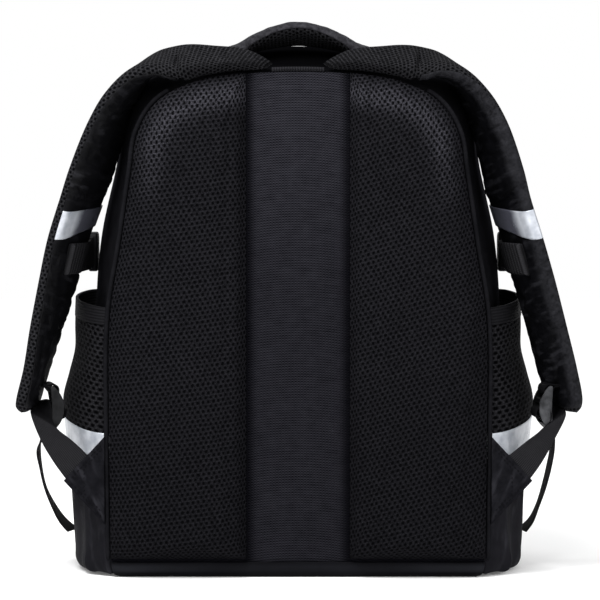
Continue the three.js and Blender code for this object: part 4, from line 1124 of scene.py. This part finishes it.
def make_pads():
    """Back pads: lines from the inner edge to the outer one. The rise over the panel is the product of three
    rolled edges, each a quarter of a rounded oblong over its own distance: a wide one along the outer seam, a
    tight one at the channel and one at the bottom."""
    edge = pad_outline()
    length = run_length(edge)
    count, columns = 170, 75
    share = np.linspace(0, 1, count)
    outer = read_line(share * length[-1], length, edge)
    inner = join(-CHANNEL_HALF, PAD_BOTTOM + (edge[-1, 1] - PAD_BOTTOM) * share)
    v = (1 - np.cos(math.pi * np.linspace(0, 1, columns))) / 2
    flat = inner[:, None] + (outer - inner)[:, None] * v[None, :, None]
    foot, gap = nearest_on(edge, flat)

    def roll(distance, reach):
        return np.sqrt(1 - (1 - np.clip(distance / reach, 0, 1)) ** 2.4)

    def spare(distance, reach):
        """Cloth length that the rolled edge takes up beyond its flat width, from a distance inwards."""
        table = np.linspace(0, reach, 400)
        extra = np.sqrt(1 + np.gradient(PAD_LIFT * roll(table, reach), table) ** 2) - 1
        return np.interp(distance, table, np.cumsum(extra[::-1])[::-1] * (table[1] - table[0]))

    channel, bottom = -CHANNEL_HALF - flat[..., 0], flat[..., 1] - PAD_BOTTOM
    reach = PAD_ROLL
    lift = PAD_LIFT * roll(gap, reach["outer"]) * roll(channel, reach["channel"])
    lift = lift * roll(bottom, reach["bottom"])
    cloth = flat + unit(foot - flat) * spare(gap, reach["outer"])[..., None]
    cloth[..., 0] += spare(channel, reach["channel"])
    cloth[..., 1] -= spare(bottom, reach["bottom"])
    swell = 0.6 * ripple(flat[..., 0], flat[..., 1], 21, 8, (40, 120))
    lift = lift + swell * smooth_step(np.minimum(gap, np.minimum(channel, bottom)), 3, 25)
    for side, sign in SIDES.items():
        x = -sign * flat[..., 0]
        upper = join(x, PANEL_BACK_Y - 0.4 - lift, flat[..., 1])
        lower = join(x, PANEL_BACK_Y - 0.35, flat[..., 1])
        upper = settle(upper, lower, lift < 1.5, *PAD_SLACK)
        tilt = math.tan(math.radians(PAD_TILT[side]))
        u = -sign * cloth[..., 0]
        uv = join(u, cloth[..., 1] - tilt * u)
        pad = make(f"back_pad_{side}_mesh", PAD_MESH, shell(upper, lower, uv))
        set_pull_and_highlight(pad, edge)
        place(pad, "pad_mesh", f"back_pad_{side}")


def make_seam_trim():
    """Piping: a round bead carried along the back seam. Binding: a low strip between the strap roots."""
    share = np.linspace(0, 0.355, 260)
    path = body_offset(share, BACK_Y, np.full(share.shape, -PIPING_OUT))
    path[:, 1] = (PANEL_BACK_Y + BACK_Y) / 2
    inward = unit(body_offset(share, BACK_Y, np.ones(share.shape)) - body_point(share, BACK_Y))
    turn = np.linspace(0, 2 * math.pi, 12, endpoint=False)
    length = run_length(path)
    radius = PIPING_RADIUS * (1 - 0.05 * np.sin(length * 2 * math.pi / 3.6)) * end_taper(len(share), 3)
    ring = np.cos(turn)[None, :, None] * inward[:, None] + np.sin(turn)[None, :, None] * np.array([0, 1.0, 0])
    uv = join(np.linspace(0, 13.2, 13), length[:, None])
    for side, sign in SIDES.items():
        grid = (path[:, None] + radius[:, None, None] * ring) * (-sign, 1, 1)
        place(make(f"piping_{side}_bead", NYLON, patch(grid, uv, loop_v=True)), "nylon", f"piping_{side}")
    start = share_where(BACK_Y, 0, -20.0)
    along = np.linspace(start, 1 - start, 41)
    lines = []
    for y, lift in ((BINDING_Y, 0.3), (BINDING_Y, 3.5), (-79, 3.5)):
        rows = body_offset(along, BACK_Y, np.full(along.shape, -lift))
        rows[:, 1] = y
        lines.append(rows)
    outer = np.stack(lines, 1)
    outer = np.stack([outer[:, 0], outer[:, 1] + (0, 0, -0.6), outer[:, 1] + (0, 0.7, 0), outer[:, 2]], 1)
    inner = outer + np.array([[0, 0.9, 0.2], [0, 1.2, -0.4], [0, 0.9, -1.0], [0, 0, -1.2]])
    wide = run_length(outer[:, 0])[:, None]
    uv = join(wide, np.arange(4) * 2.0)
    place(make("top_binding_tape", BINDING, shell(outer, inner, uv)), "webbing", "top_binding")
    spots = np.linspace(outer[0, 0, 0], outer[-1, 0, 0], 23)[1:-1]
    low = np.interp(spots, outer[:, 0, 0], outer[:, 0, 2]) + 0.2
    towards = np.tile([0, -1.0, 0], (2, 1))
    deep = BINDING_Y + 0.05
    ticks = [(np.array([[x, deep, z], [x + 0.3, deep, z + 2.2]]), towards) for x, z in zip(spots, low)]
    place(stitches("binding_stitches", ticks, 2.2, 2.0, 0.26), "webbing")


# Straps and handle

def strap_edges(side):
    """A shoulder strap's near and far edges."""
    mirror = (SIDES[side], 1, 1)
    return STRAP[side][:, :3] * mirror, STRAP[side][:, 3:] * mirror


def lining_section(side, shares):
    """The part of the strap's cross-section that its nylon covers, row by row: the inner face and some of the
    near edge. On the left strap its start draws back towards the lower end, where the mesh rim widens."""
    table = np.linspace(0.45, 0.985, 4001)
    across, rise = rounded_oblong(table, STRAP_HALF, STRAP_SQUARE[side])
    way = run_length(join(STRAP_SPAN * across, rise))
    shares = np.asarray(shares, float)
    start = np.full(shares.shape, 0.478)
    if side == "left":
        start = 0.531 + 0.042 * smooth_step(shares, 0.45, 0.85)
    first = np.interp(start, table, way)[:, None]
    at = first + (way[-1] - first) * np.linspace(0, 1, 61)
    return np.interp(at, way, across), np.interp(at, way, rise)


def lining_folds(band, across, seed):
    """Folds across the nylon where the strap bends over the shoulder: drawn ridges, each a narrow hump
    along the strap that leans and fades across it, and a fine puckering along its edges. The nylon lies flat
    under the silver tape."""
    draw = np.random.default_rng(seed)
    along = band.length[:, None]
    total = band.length[-1]
    folds = np.zeros(np.broadcast(along, across).shape)
    for _ in range(64):
        at = draw.uniform(0.0, 0.52) * total
        lean = draw.uniform(-18, 18)
        narrow = draw.uniform(1.1, 2.8)
        high = draw.uniform(0.4, 1.5) * (1 - 0.5 * smooth_step(at / total, 0.3, 0.5))
        middle, wide = draw.uniform(-1.0, 0.6), draw.uniform(0.2, 0.65)
        folds += high * bell(along - lean * across, at, narrow) * bell(across, middle, wide)
    pucker = ripple(along, 8 * across, seed + 1, 12, (6, 15)) * smooth_step(np.abs(across), 0.3, 0.9)
    folds += 0.3 * ripple(along, 30 * across, seed + 2, 10, (12, 50)) + 0.34 * pucker
    flat = smooth_step(np.abs(band.shares - TAPE_AT), 0.035, 0.06)
    fade = smooth_step(band.shares, 0.2, 0.23) * (1 - smooth_step(band.shares, 0.94, 0.97)) * flat
    return np.clip(folds, -0.35, 3.0) * fade[:, None]


def strap_swell(shares, across):
    """Thickness of the strap by share and place across: fuller at its root, pinched along a slanting crease
    where the root folds over, and a little uneven."""
    at = shares[:, None]
    full = 1 + 0.45 * smooth_step(at, 0.0, 0.06) * (1 - smooth_step(at, 0.15, 0.24))
    near = 1 - smooth_step(across, -0.2, 0.5)
    slanted = at - 0.012 * across
    return full - 0.5 * near * bell(slanted, 0.2, 0.006) + 0.25 * near * bell(slanted, 0.183, 0.011)


def make_straps():
    """Shoulder straps: a padded strip in mesh, nylon on the side towards the bag, silver tape across it."""
    for side, sign in SIDES.items():
        edges = strap_edges(side)
        section = padded_section(STRAP_HALF, STRAP_SPAN, STRAP_SQUARE[side], count=72)
        band = Band(*edges, np.linspace(0, 1, 260), sign)
        pad = make(f"strap_{side}_mesh", STRAP_MESH,
                   closed_band(band, *section, taper_steps=9, swell=strap_swell(band.shares, section[0])))
        place(pad, "pad_mesh", f"strap_{side}")
        inside = Band(*edges, np.linspace(0.2, 0.965, 300), sign)
        across, rise = lining_section(side, inside.shares)
        folds = lining_folds(inside, across, LINING_SEED[side])
        flat_rows = np.abs(inside.shares - TAPE_AT) < 0.045
        swell = strap_swell(inside.shares, across)
        lining = face_strip(inside, across, rise, 0.15, 0.8, 0.5 * folds, swell, flat_rows)
        place(make(f"strap_{side}_nylon", LINING[side], lining), "nylon")
        make_strap_tape(side, edges)


def make_strap_tape(side, edges):
    """Silver tape across a strap's nylon: between an upper and a lower line that both slant, wider towards
    the near edge, with a soft bend."""
    across, rise = (values[0] for values in lining_section(side, [TAPE_AT]))
    lean = (across + 1) / 2
    top = TAPE_NEAR[0] + (TAPE_FAR[0] - TAPE_NEAR[0]) * lean
    low = TAPE_NEAR[1] + (TAPE_FAR[1] - TAPE_NEAR[1]) * lean
    steps = np.linspace(0, 1, 19)[:, None]
    strips = [Band(*edges, np.linspace(a, b, 19), SIDES[side]) for a, b in zip(top, low)]
    edge = np.gradient(join(STRAP_SPAN * across, rise), axis=0)
    normal = unit(join(edge[:, 1], -edge[:, 0]))
    grids = []
    for lift in (2.0, 1.3):
        columns = []
        for k, strip in enumerate(strips):
            base = strip.middle + strip.half * across[k] * strip.across + rise[k] * strip.out
            columns.append(base + lift * (normal[k, 0] * strip.across + normal[k, 1] * strip.out))
        grids.append(np.stack(columns, 1))
    high = run_length(grids[0])
    wide = run_length(grids[0].transpose(1, 0, 2)).T
    bend = 0.5 * np.sin(math.pi * steps) * np.sin(math.pi * np.clip((wide - 8) / 30, 0, 1)) ** 2
    dip = bend[..., None] * strips[0].out[:, None]
    tape = shell(grids[0] - dip, grids[1] - dip, join(wide, high))
    place(make(f"strap_{side}_silver", SILVER, tape), "reflective", f"strap_tape_{side}")


def chest_edge(side, share, rise):
    """One edge of the chest strap: across the nylon face, then free beside the body."""
    band = Band(*strap_edges(side), np.array([share - 0.002, share, share + 0.002]), SIDES[side])
    depth = 2.2 + 3.6 * (1 - CHEST_ON_STRAP**4) + 3.6
    on = band.middle[1] + band.half[1] * CHEST_ON_STRAP[:, None] * band.across[1]
    on = on - depth[:, None] * band.out[1]
    free = join(SIDES[side] * CHEST_FREE[:, 0], CHEST_FREE[:, 1], CHEST_Z + rise)
    return np.vstack([on, free])


def make_chest_straps():
    """Chest strap halves: ribbed webbing off the strap, then a rounded buckle block at its end."""
    for side, sign in SIDES.items():
        lower = chest_edge(side, CHEST_BOTTOM_AT, -CHEST_WIDTH / 2)
        upper = chest_edge(side, CHEST_TOP_AT, CHEST_WIDTH / 2)
        band = Band(lower, upper, np.linspace(0, 1, 80))
        section = padded_section(CHEST_HALF, CHEST_WIDTH / 2, 12.0, count=48)
        fold = 1 + 2.6 * (1 - smooth_step(band.length, 4, 7))[:, None]
        grid, uv, *loops = closed_band(band, *section, taper_steps=3, swell=fold)
        web = make(f"chest_strap_{side}_web", CHEST_WEB, patch(grid, uv[..., ::-1], *loops))
        place(web, "webbing", f"chest_strap_{side}")
        out, end = CHEST_FREE[-1]
        buckle = block(f"chest_buckle_{side}_block", (sign * out, end + 13.4, CHEST_Z))
        place(buckle, "plastic", f"chest_buckle_{side}")


def block(name, centre):
    """A rounded block: a sphere's angles with their sines and cosines raised to a low power, so its sides are
    nearly flat, with two grip grooves round it."""
    turn = np.linspace(0, 2 * math.pi, 64, endpoint=False)
    lat, lon = lattice(np.linspace(-math.pi / 2, math.pi / 2, 41), turn)

    def squared(value):
        return np.sign(value) * np.abs(value) ** 0.3

    ring = squared(np.cos(lat))
    shape = join(ring * squared(np.cos(lon)), ring * squared(np.sin(lon)), squared(np.sin(lat)))
    shape[..., 0] *= 1 - 0.05 * (bell(shape[..., 2], 0.35, 0.05) + bell(shape[..., 2], -0.35, 0.05))
    grid = shape * CHEST_BUCKLE + np.array(centre)
    uv = join(np.linspace(0, 40, 65), np.linspace(0, 30, 41)[:, None])
    return make(name, DARK_PLASTIC, patch(grid, uv, loop_v=True))


def facing_up(band):
    """The band with its outer face turned up at its middle."""
    if band.out[len(band.out) // 2, 2] < 0:
        band.out = -band.out
    return band


def make_handle():
    """Carry handle: a padded arch in mesh, with nylon over its top and near edge."""
    foot = [HANDLE_FOOT]
    for y in HANDLE_Y:
        share = share_where(y, 0, -(HANDLE_FOOT - 5.0))
        foot.append(float(body_point(share, y)[..., 2]) + 3.0)
    half = np.vstack([foot, HANDLE])
    whole = np.vstack([half[:-1] * (-1, 1, 1), half[::-1]])
    near, far = (join(whole[:, 0], y, whole[:, k]) for k, y in enumerate(HANDLE_Y, 1))
    band = facing_up(Band(near, far, np.linspace(0, 1, 120)))
    section = padded_section(HANDLE_HALF, HANDLE_SPAN, 4.0, count=60)
    pad = make("carry_handle_mesh", STRAP_MESH, closed_band(band, *section, taper_steps=3))
    place(pad, "pad_mesh", "carry_handle")
    cover = padded_section(HANDLE_HALF, HANDLE_SPAN, 4.0, -0.01, 0.545, 40)
    inside = facing_up(Band(near, far, np.linspace(0.02, 0.98, 116)))
    pucker = 0.16 * ripple(inside.length[:, None], HANDLE_SPAN * cover[0], 61, 12, (5, 16))
    place(make("carry_handle_nylon", HANDLE_NYLON, face_strip(inside, *cover, 0.15, 0.7, pucker)), "nylon")


# Side pockets

def pocket_climb(z):
    """How much higher the pocket's front seam is than its back seam, at a height."""
    r = POCKET_RISE
    most = r["at_strip"] + (r["at_mouth"] - r["at_strip"]) * smooth_step(z, r["strip"], r["top"])
    return most * smooth_step(z, r["low"], r["strip"])


def pocket_wall(share, part, lift, sign):
    """A point of the pocket's wall: its upright section swells between the two seams as the square root of a
    sine, climbs towards the front, and stands on the side of the body."""
    full = np.sqrt(np.maximum(np.sin(math.pi * part), 0))

    def profile(at):
        row = curve(POCKET[:, [1, 2, 0]], np.clip(at, 0, 1))
        return join(row[..., 0] * full, row[..., 1] + (row[..., 2] - row[..., 1]) * full)

    here = profile(share)
    along = unit(profile(share + 0.004) - profile(share - 0.004))
    y = POCKET_Y[0] + (POCKET_Y[1] - POCKET_Y[0]) * part
    rise = part * pocket_climb(here[..., 1])
    sewn = POCKET_CLEAR - 2.2 * (1 - smooth_step(full, 0.0, 0.35))
    x = side_out(here[..., 1] + rise, y) + sewn + here[..., 0] + along[..., 1] * lift
    return join(sign * x, y, here[..., 1] + rise - along[..., 0] * lift)


def make_pockets():
    """Side pockets: one bulging wall in four sewn bands, with slack folds in the nylon below."""
    bands = (
        ("pocket_lower", 0.0, 0.524, 80, POCKET_NYLON, "nylon", 1.9),
        ("pocket_tape", 0.522, 0.584, 12, POCKET_SILVER, "reflective", 0.3),
        ("pocket_mesh", 0.582, 0.944, 44, POCKET_MESH, "pocket_mesh", 0.4),
        ("pocket_band", 0.941, 1.0, 10, HEM, "webbing", 0.12),
    )
    part_line = (1 - np.cos(math.pi * np.linspace(0, 1, 61))) / 2
    for side, sign in SIDES.items():
        for name, start, end, steps, material, slot, slack in bands:
            share, part = lattice(np.linspace(start, end, steps + 1), part_line)
            plain = pocket_wall(share, part, np.zeros(share.shape), sign)
            around = run_length(plain.transpose(1, 0, 2)).T
            high = run_length(plain)
            fold = slack * ripple(around, 0.45 * high, 71 + sign, 11, (18, 60))
            fold = fold * np.sin(math.pi * part) ** 0.6 * smooth_step(share, 0.1, 0.26)
            fold = fold * (1 - 0.8 * smooth_step(part, 0.22, 0.45))
            if name == "pocket_lower":
                pleat = bell(part - 0.05 * share, 0.1, 0.028) * smooth_step(share, 0.12, 0.22)
                fold = fold + 2.4 * pleat * (1 - smooth_step(share, 0.38, 0.5))
                crease = bell(part + 0.1 * share, 0.17, 0.011) + bell(part - 0.16 * share, 0.05, 0.009)
                crease = crease * smooth_step(share, 0.14, 0.24) * (1 - smooth_step(share, 0.4, 0.5))
                fold = fold - 1.3 * crease
            over = POCKET_OVERLAP if name in ("pocket_tape", "pocket_band") else 0.0
            outer = pocket_wall(share, part, POCKET_CLOTH + over + fold, sign)
            inner = pocket_wall(share, part, fold - over, sign)
            uv = join(around, high)
            if name == "pocket_band":
                uv = uv[..., ::-1]
            piece = make(f"{name}_{side}_cloth", material, shell(outer, inner, uv))
            place(piece, slot, f"{name}_{side}")


# Anchors, webbing and buckles

def make_anchors():
    """Anchors: a folded triangle spread between its edge on the seam and its tip, with rounded faces and sewn
    lines along both free edges and across it."""
    a = ANCHOR
    for side, sign in SIDES.items():
        t, s = lattice(np.linspace(0, 1, 25), np.linspace(0, 1, 33))
        low = np.array([a["inner"], a["bottom"]])
        top = np.array([a["inner"], a["top"]])
        tip = np.array([a["tip"], a["tip_z"]])
        base = low + (top - low) * s[..., None]
        flat = base + (tip - base) * t[..., None]
        pillow = 0.7 + 0.45 * ripple(flat[..., 0], flat[..., 1], 83 + sign, 9, (9, 28))
        pillow = pillow * np.sin(math.pi * s) * (1 - t)
        front = join(sign * flat[..., 0], ANCHOR_Y - pillow, flat[..., 1])
        back = join(sign * flat[..., 0], ANCHOR_Y + a["thickness"], flat[..., 1])
        tab = make(f"strap_anchor_{side}_cloth", ANCHOR_NYLON, shell(front, back, flat))
        place(tab, "nylon", f"strap_anchor_{side}")

        def line(points):
            path = read_line(np.linspace(0, 1, 40), np.linspace(0, 1, len(points)), np.array(points, float))
            outward = np.tile([0, -1.0, 0], (40, 1))
            return join(sign * path[:, 0], ANCHOR_Y - 0.35, path[:, 1]), outward

        rows = [
            line([top + (2.2, -5.5), tip + (-5.0, 0.6)]),
            line([low + (2.2, 5.5), tip + (-5.0, -0.6)]),
            line([top + (2.2, -9.5), top + (15.5, -24), low + (15.5, 24), low + (2.2, 9.5)]),
        ]
        place(stitches(f"strap_anchor_{side}_stitches", rows, 3.2, 2.3, 0.3), "webbing")


def lock_frame(side):
    """Where the buckle stands: its middle and its width, depth and height directions."""
    out, y, z, yaw = LOCK_PLACE[side]
    sign = SIDES[side]
    angle = -sign * math.radians(90 - yaw)
    wide = np.array([math.cos(angle), math.sin(angle), 0])
    deep = np.array([-math.sin(angle), math.cos(angle), 0])
    return np.array([sign * out, y, z]), wide, deep, np.array([0, 0, 1.0])


def make_lock(side):
    """Adjuster buckle: a bowed plate on a grid of cells with three windows left out, its front and back faces
    joined by walls round every edge of the cells that stay."""
    width, half, thick, window = LOCK["width"] / 2, LOCK["half"], LOCK["thickness"] / 2, LOCK["window"] / 2
    x = np.concatenate([np.linspace(-width, -window, 3), np.linspace(-window, window, 9)[1:],
                        np.linspace(window, width, 3)[1:]])
    marks = [-half, *sum(LOCK_WINDOWS, ()), half]
    spans = [np.linspace(low, high, 5)[:-1] for low, high in zip(marks[:-1], marks[1:])]
    z = np.concatenate([*spans, [half]])
    middle_x, middle_z = (x[:-1] + x[1:]) / 2, (z[:-1] + z[1:]) / 2
    open_z = np.any([(middle_z > low) & (middle_z < high) for low, high in LOCK_WINDOWS], 0)
    solid = ~((np.abs(middle_x) < window)[:, None] & open_z[None])
    columns, rows = len(x), len(z)
    round_off = 1 - (z / half) ** 2
    bow = -LOCK["bulge"] * round_off
    corner = np.clip((np.abs(z) - half + 6) / 6, 0, 1) ** 2
    narrow = x[:, None] * (1 - 0.1 * corner[None])
    height = np.where(x * SIDES[side] > 0, LOCK_RAIL, LOCK_FAR_RAIL)
    rail = (smooth_step(np.abs(x), window, window + 0.9) * height)[:, None] * round_off
    thick = thick * (1 - 0.5 * (z / half) ** 4)
    centre, wide, deep, up = lock_frame(side)
    flat = centre + narrow[..., None] * wide + z[None, :, None] * up
    layers = [flat + (bow + depth)[..., None] * deep for depth in (-thick + 0 * rail, thick + rail)]
    points = np.concatenate([layer.reshape(-1, 3) for layer in layers])

    def corner_at(layer, i, j):
        return layer * columns * rows + i * rows + j

    i, j = np.nonzero(solid)
    front = (i, j), (i + 1, j), (i + 1, j + 1), (i, j + 1)
    back = front[:1] + front[:0:-1]
    faces = [join(*(corner_at(layer, *spot) for spot in ring)) for layer, ring in enumerate((front, back))]
    framed = np.pad(solid, 1)
    # The four sides of a cell: the step to its neighbour, then the two corners between them
    for step_x, step_z, p, q in (
        (-1, 0, (0, 0), (0, 1)), (1, 0, (1, 1), (1, 0)), (0, -1, (1, 0), (0, 0)), (0, 1, (0, 1), (1, 1)),
    ):
        beside = np.roll(framed, (-step_x, -step_z), (0, 1))[1:-1, 1:-1]
        i, j = np.nonzero(solid & ~beside)
        first, second = (i + p[0], j + p[1]), (i + q[0], j + q[1])
        wall = corner_at(0, *first), corner_at(0, *second), corner_at(1, *second), corner_at(1, *first)
        faces.append(join(*wall))
    quads = np.vstack(faces)
    spread = join(*lattice(x, z)).reshape(-1, 2)
    cloth = np.concatenate([spread, spread])[quads].reshape(-1, 2)
    plate = make_faces(f"ladder_lock_{side}_plate", SHADED_AND_LIT_LOCK_PLASTIC[side], points, quads, cloth, bevel=1.0)
    place(plate, "plastic", f"ladder_lock_{side}")


def make_lock_loop(side):
    """Webbing loop from the strap's end round the buckle's top bar: an eye drawn out into a flat neck."""
    path = curve(LOCK_EYE, np.linspace(0, 1, 60))
    way = unit(np.gradient(path, axis=0))
    normal = join(way[:, 1], -way[:, 0])
    centre, wide, deep, up = lock_frame(side)
    across = np.linspace(-WEB_WIDTH / 2, WEB_WIDTH / 2, 12)

    def face(offset):
        line = path + offset * normal
        return centre + line[:, None, :1] * deep + line[:, None, 1:] * up + across[None, :, None] * wide

    uv = join(across + 20, run_length(path)[:, None])
    loop = make(f"lock_loop_{side}_web", LOOP_WEB, shell(face(LOOP_HALF), face(-LOOP_HALF), uv))
    place(loop, "webbing", f"lock_loop_{side}")


def make_lower_webbing(side):
    """Lower webbing: from the anchor's edge over the buckle's outer side, in through its middle window, round
    its bar, out through the window below and down as a free tail."""
    a, sign = ANCHOR, SIDES[side]
    edge = np.array([a["tip"] - a["inner"], a["tip_z"] - a["top"]])
    length = np.linalg.norm(edge)
    away = np.array([-edge[1], edge[0]]) / length * -3.0

    def on_edge(distance):
        spot = np.array([a["inner"], a["top"]]) + edge * distance / length + away
        return np.array([sign * spot[0], ANCHOR_Y + a["thickness"] / 2, spot[1]])

    centre, wide, deep, up = lock_frame(side)
    route = centre + LOCK_ROUTE[:, :1] * deep + LOCK_ROUTE[:, 1:2] * up
    route = route - sign * LOCK_ROUTE[:, 2:] * wide
    tail = TAIL[side]
    turn = np.radians(tail[:, 3])
    reach = join(-sign * np.sin(turn), np.cos(turn), 0.0) * WEB_WIDTH / 2
    low = tail[:, :3] * (sign, 1, 1)
    sewn = on_edge(length - 1.5), on_edge(length - 1.5 - WEB_WIDTH)
    free = WEB_FREE[side] * (sign, 1, 1, sign, 1, 1)
    threaded = sign * WEB_WIDTH / 2 * wide
    near = np.vstack([sewn[1], free[:, :3], route + threaded, low - reach])
    far = np.vstack([sewn[0], free[:, 3:], route - threaded, low + reach])
    band = Band(near, far, np.linspace(0, 1, 260))
    section = padded_section(WEB_HALF, WEB_WIDTH / 2, 12.0, count=40)
    web = make(f"lower_webbing_{side}_web", WEBBING, closed_band(band, *section, taper_steps=1))
    place(web, "webbing", f"lower_webbing_{side}")


make_camera()
make_studio()
make_gusset()
make_zip()
make_zip_slider()
make_front()
make_base()
make_back_panel()
make_pads()
make_seam_trim()
make_straps()
make_chest_straps()
make_handle()
make_pockets()
make_anchors()
for side in SIDES:
    make_lock(side)
    make_lock_loop(side)
    make_lower_webbing(side)
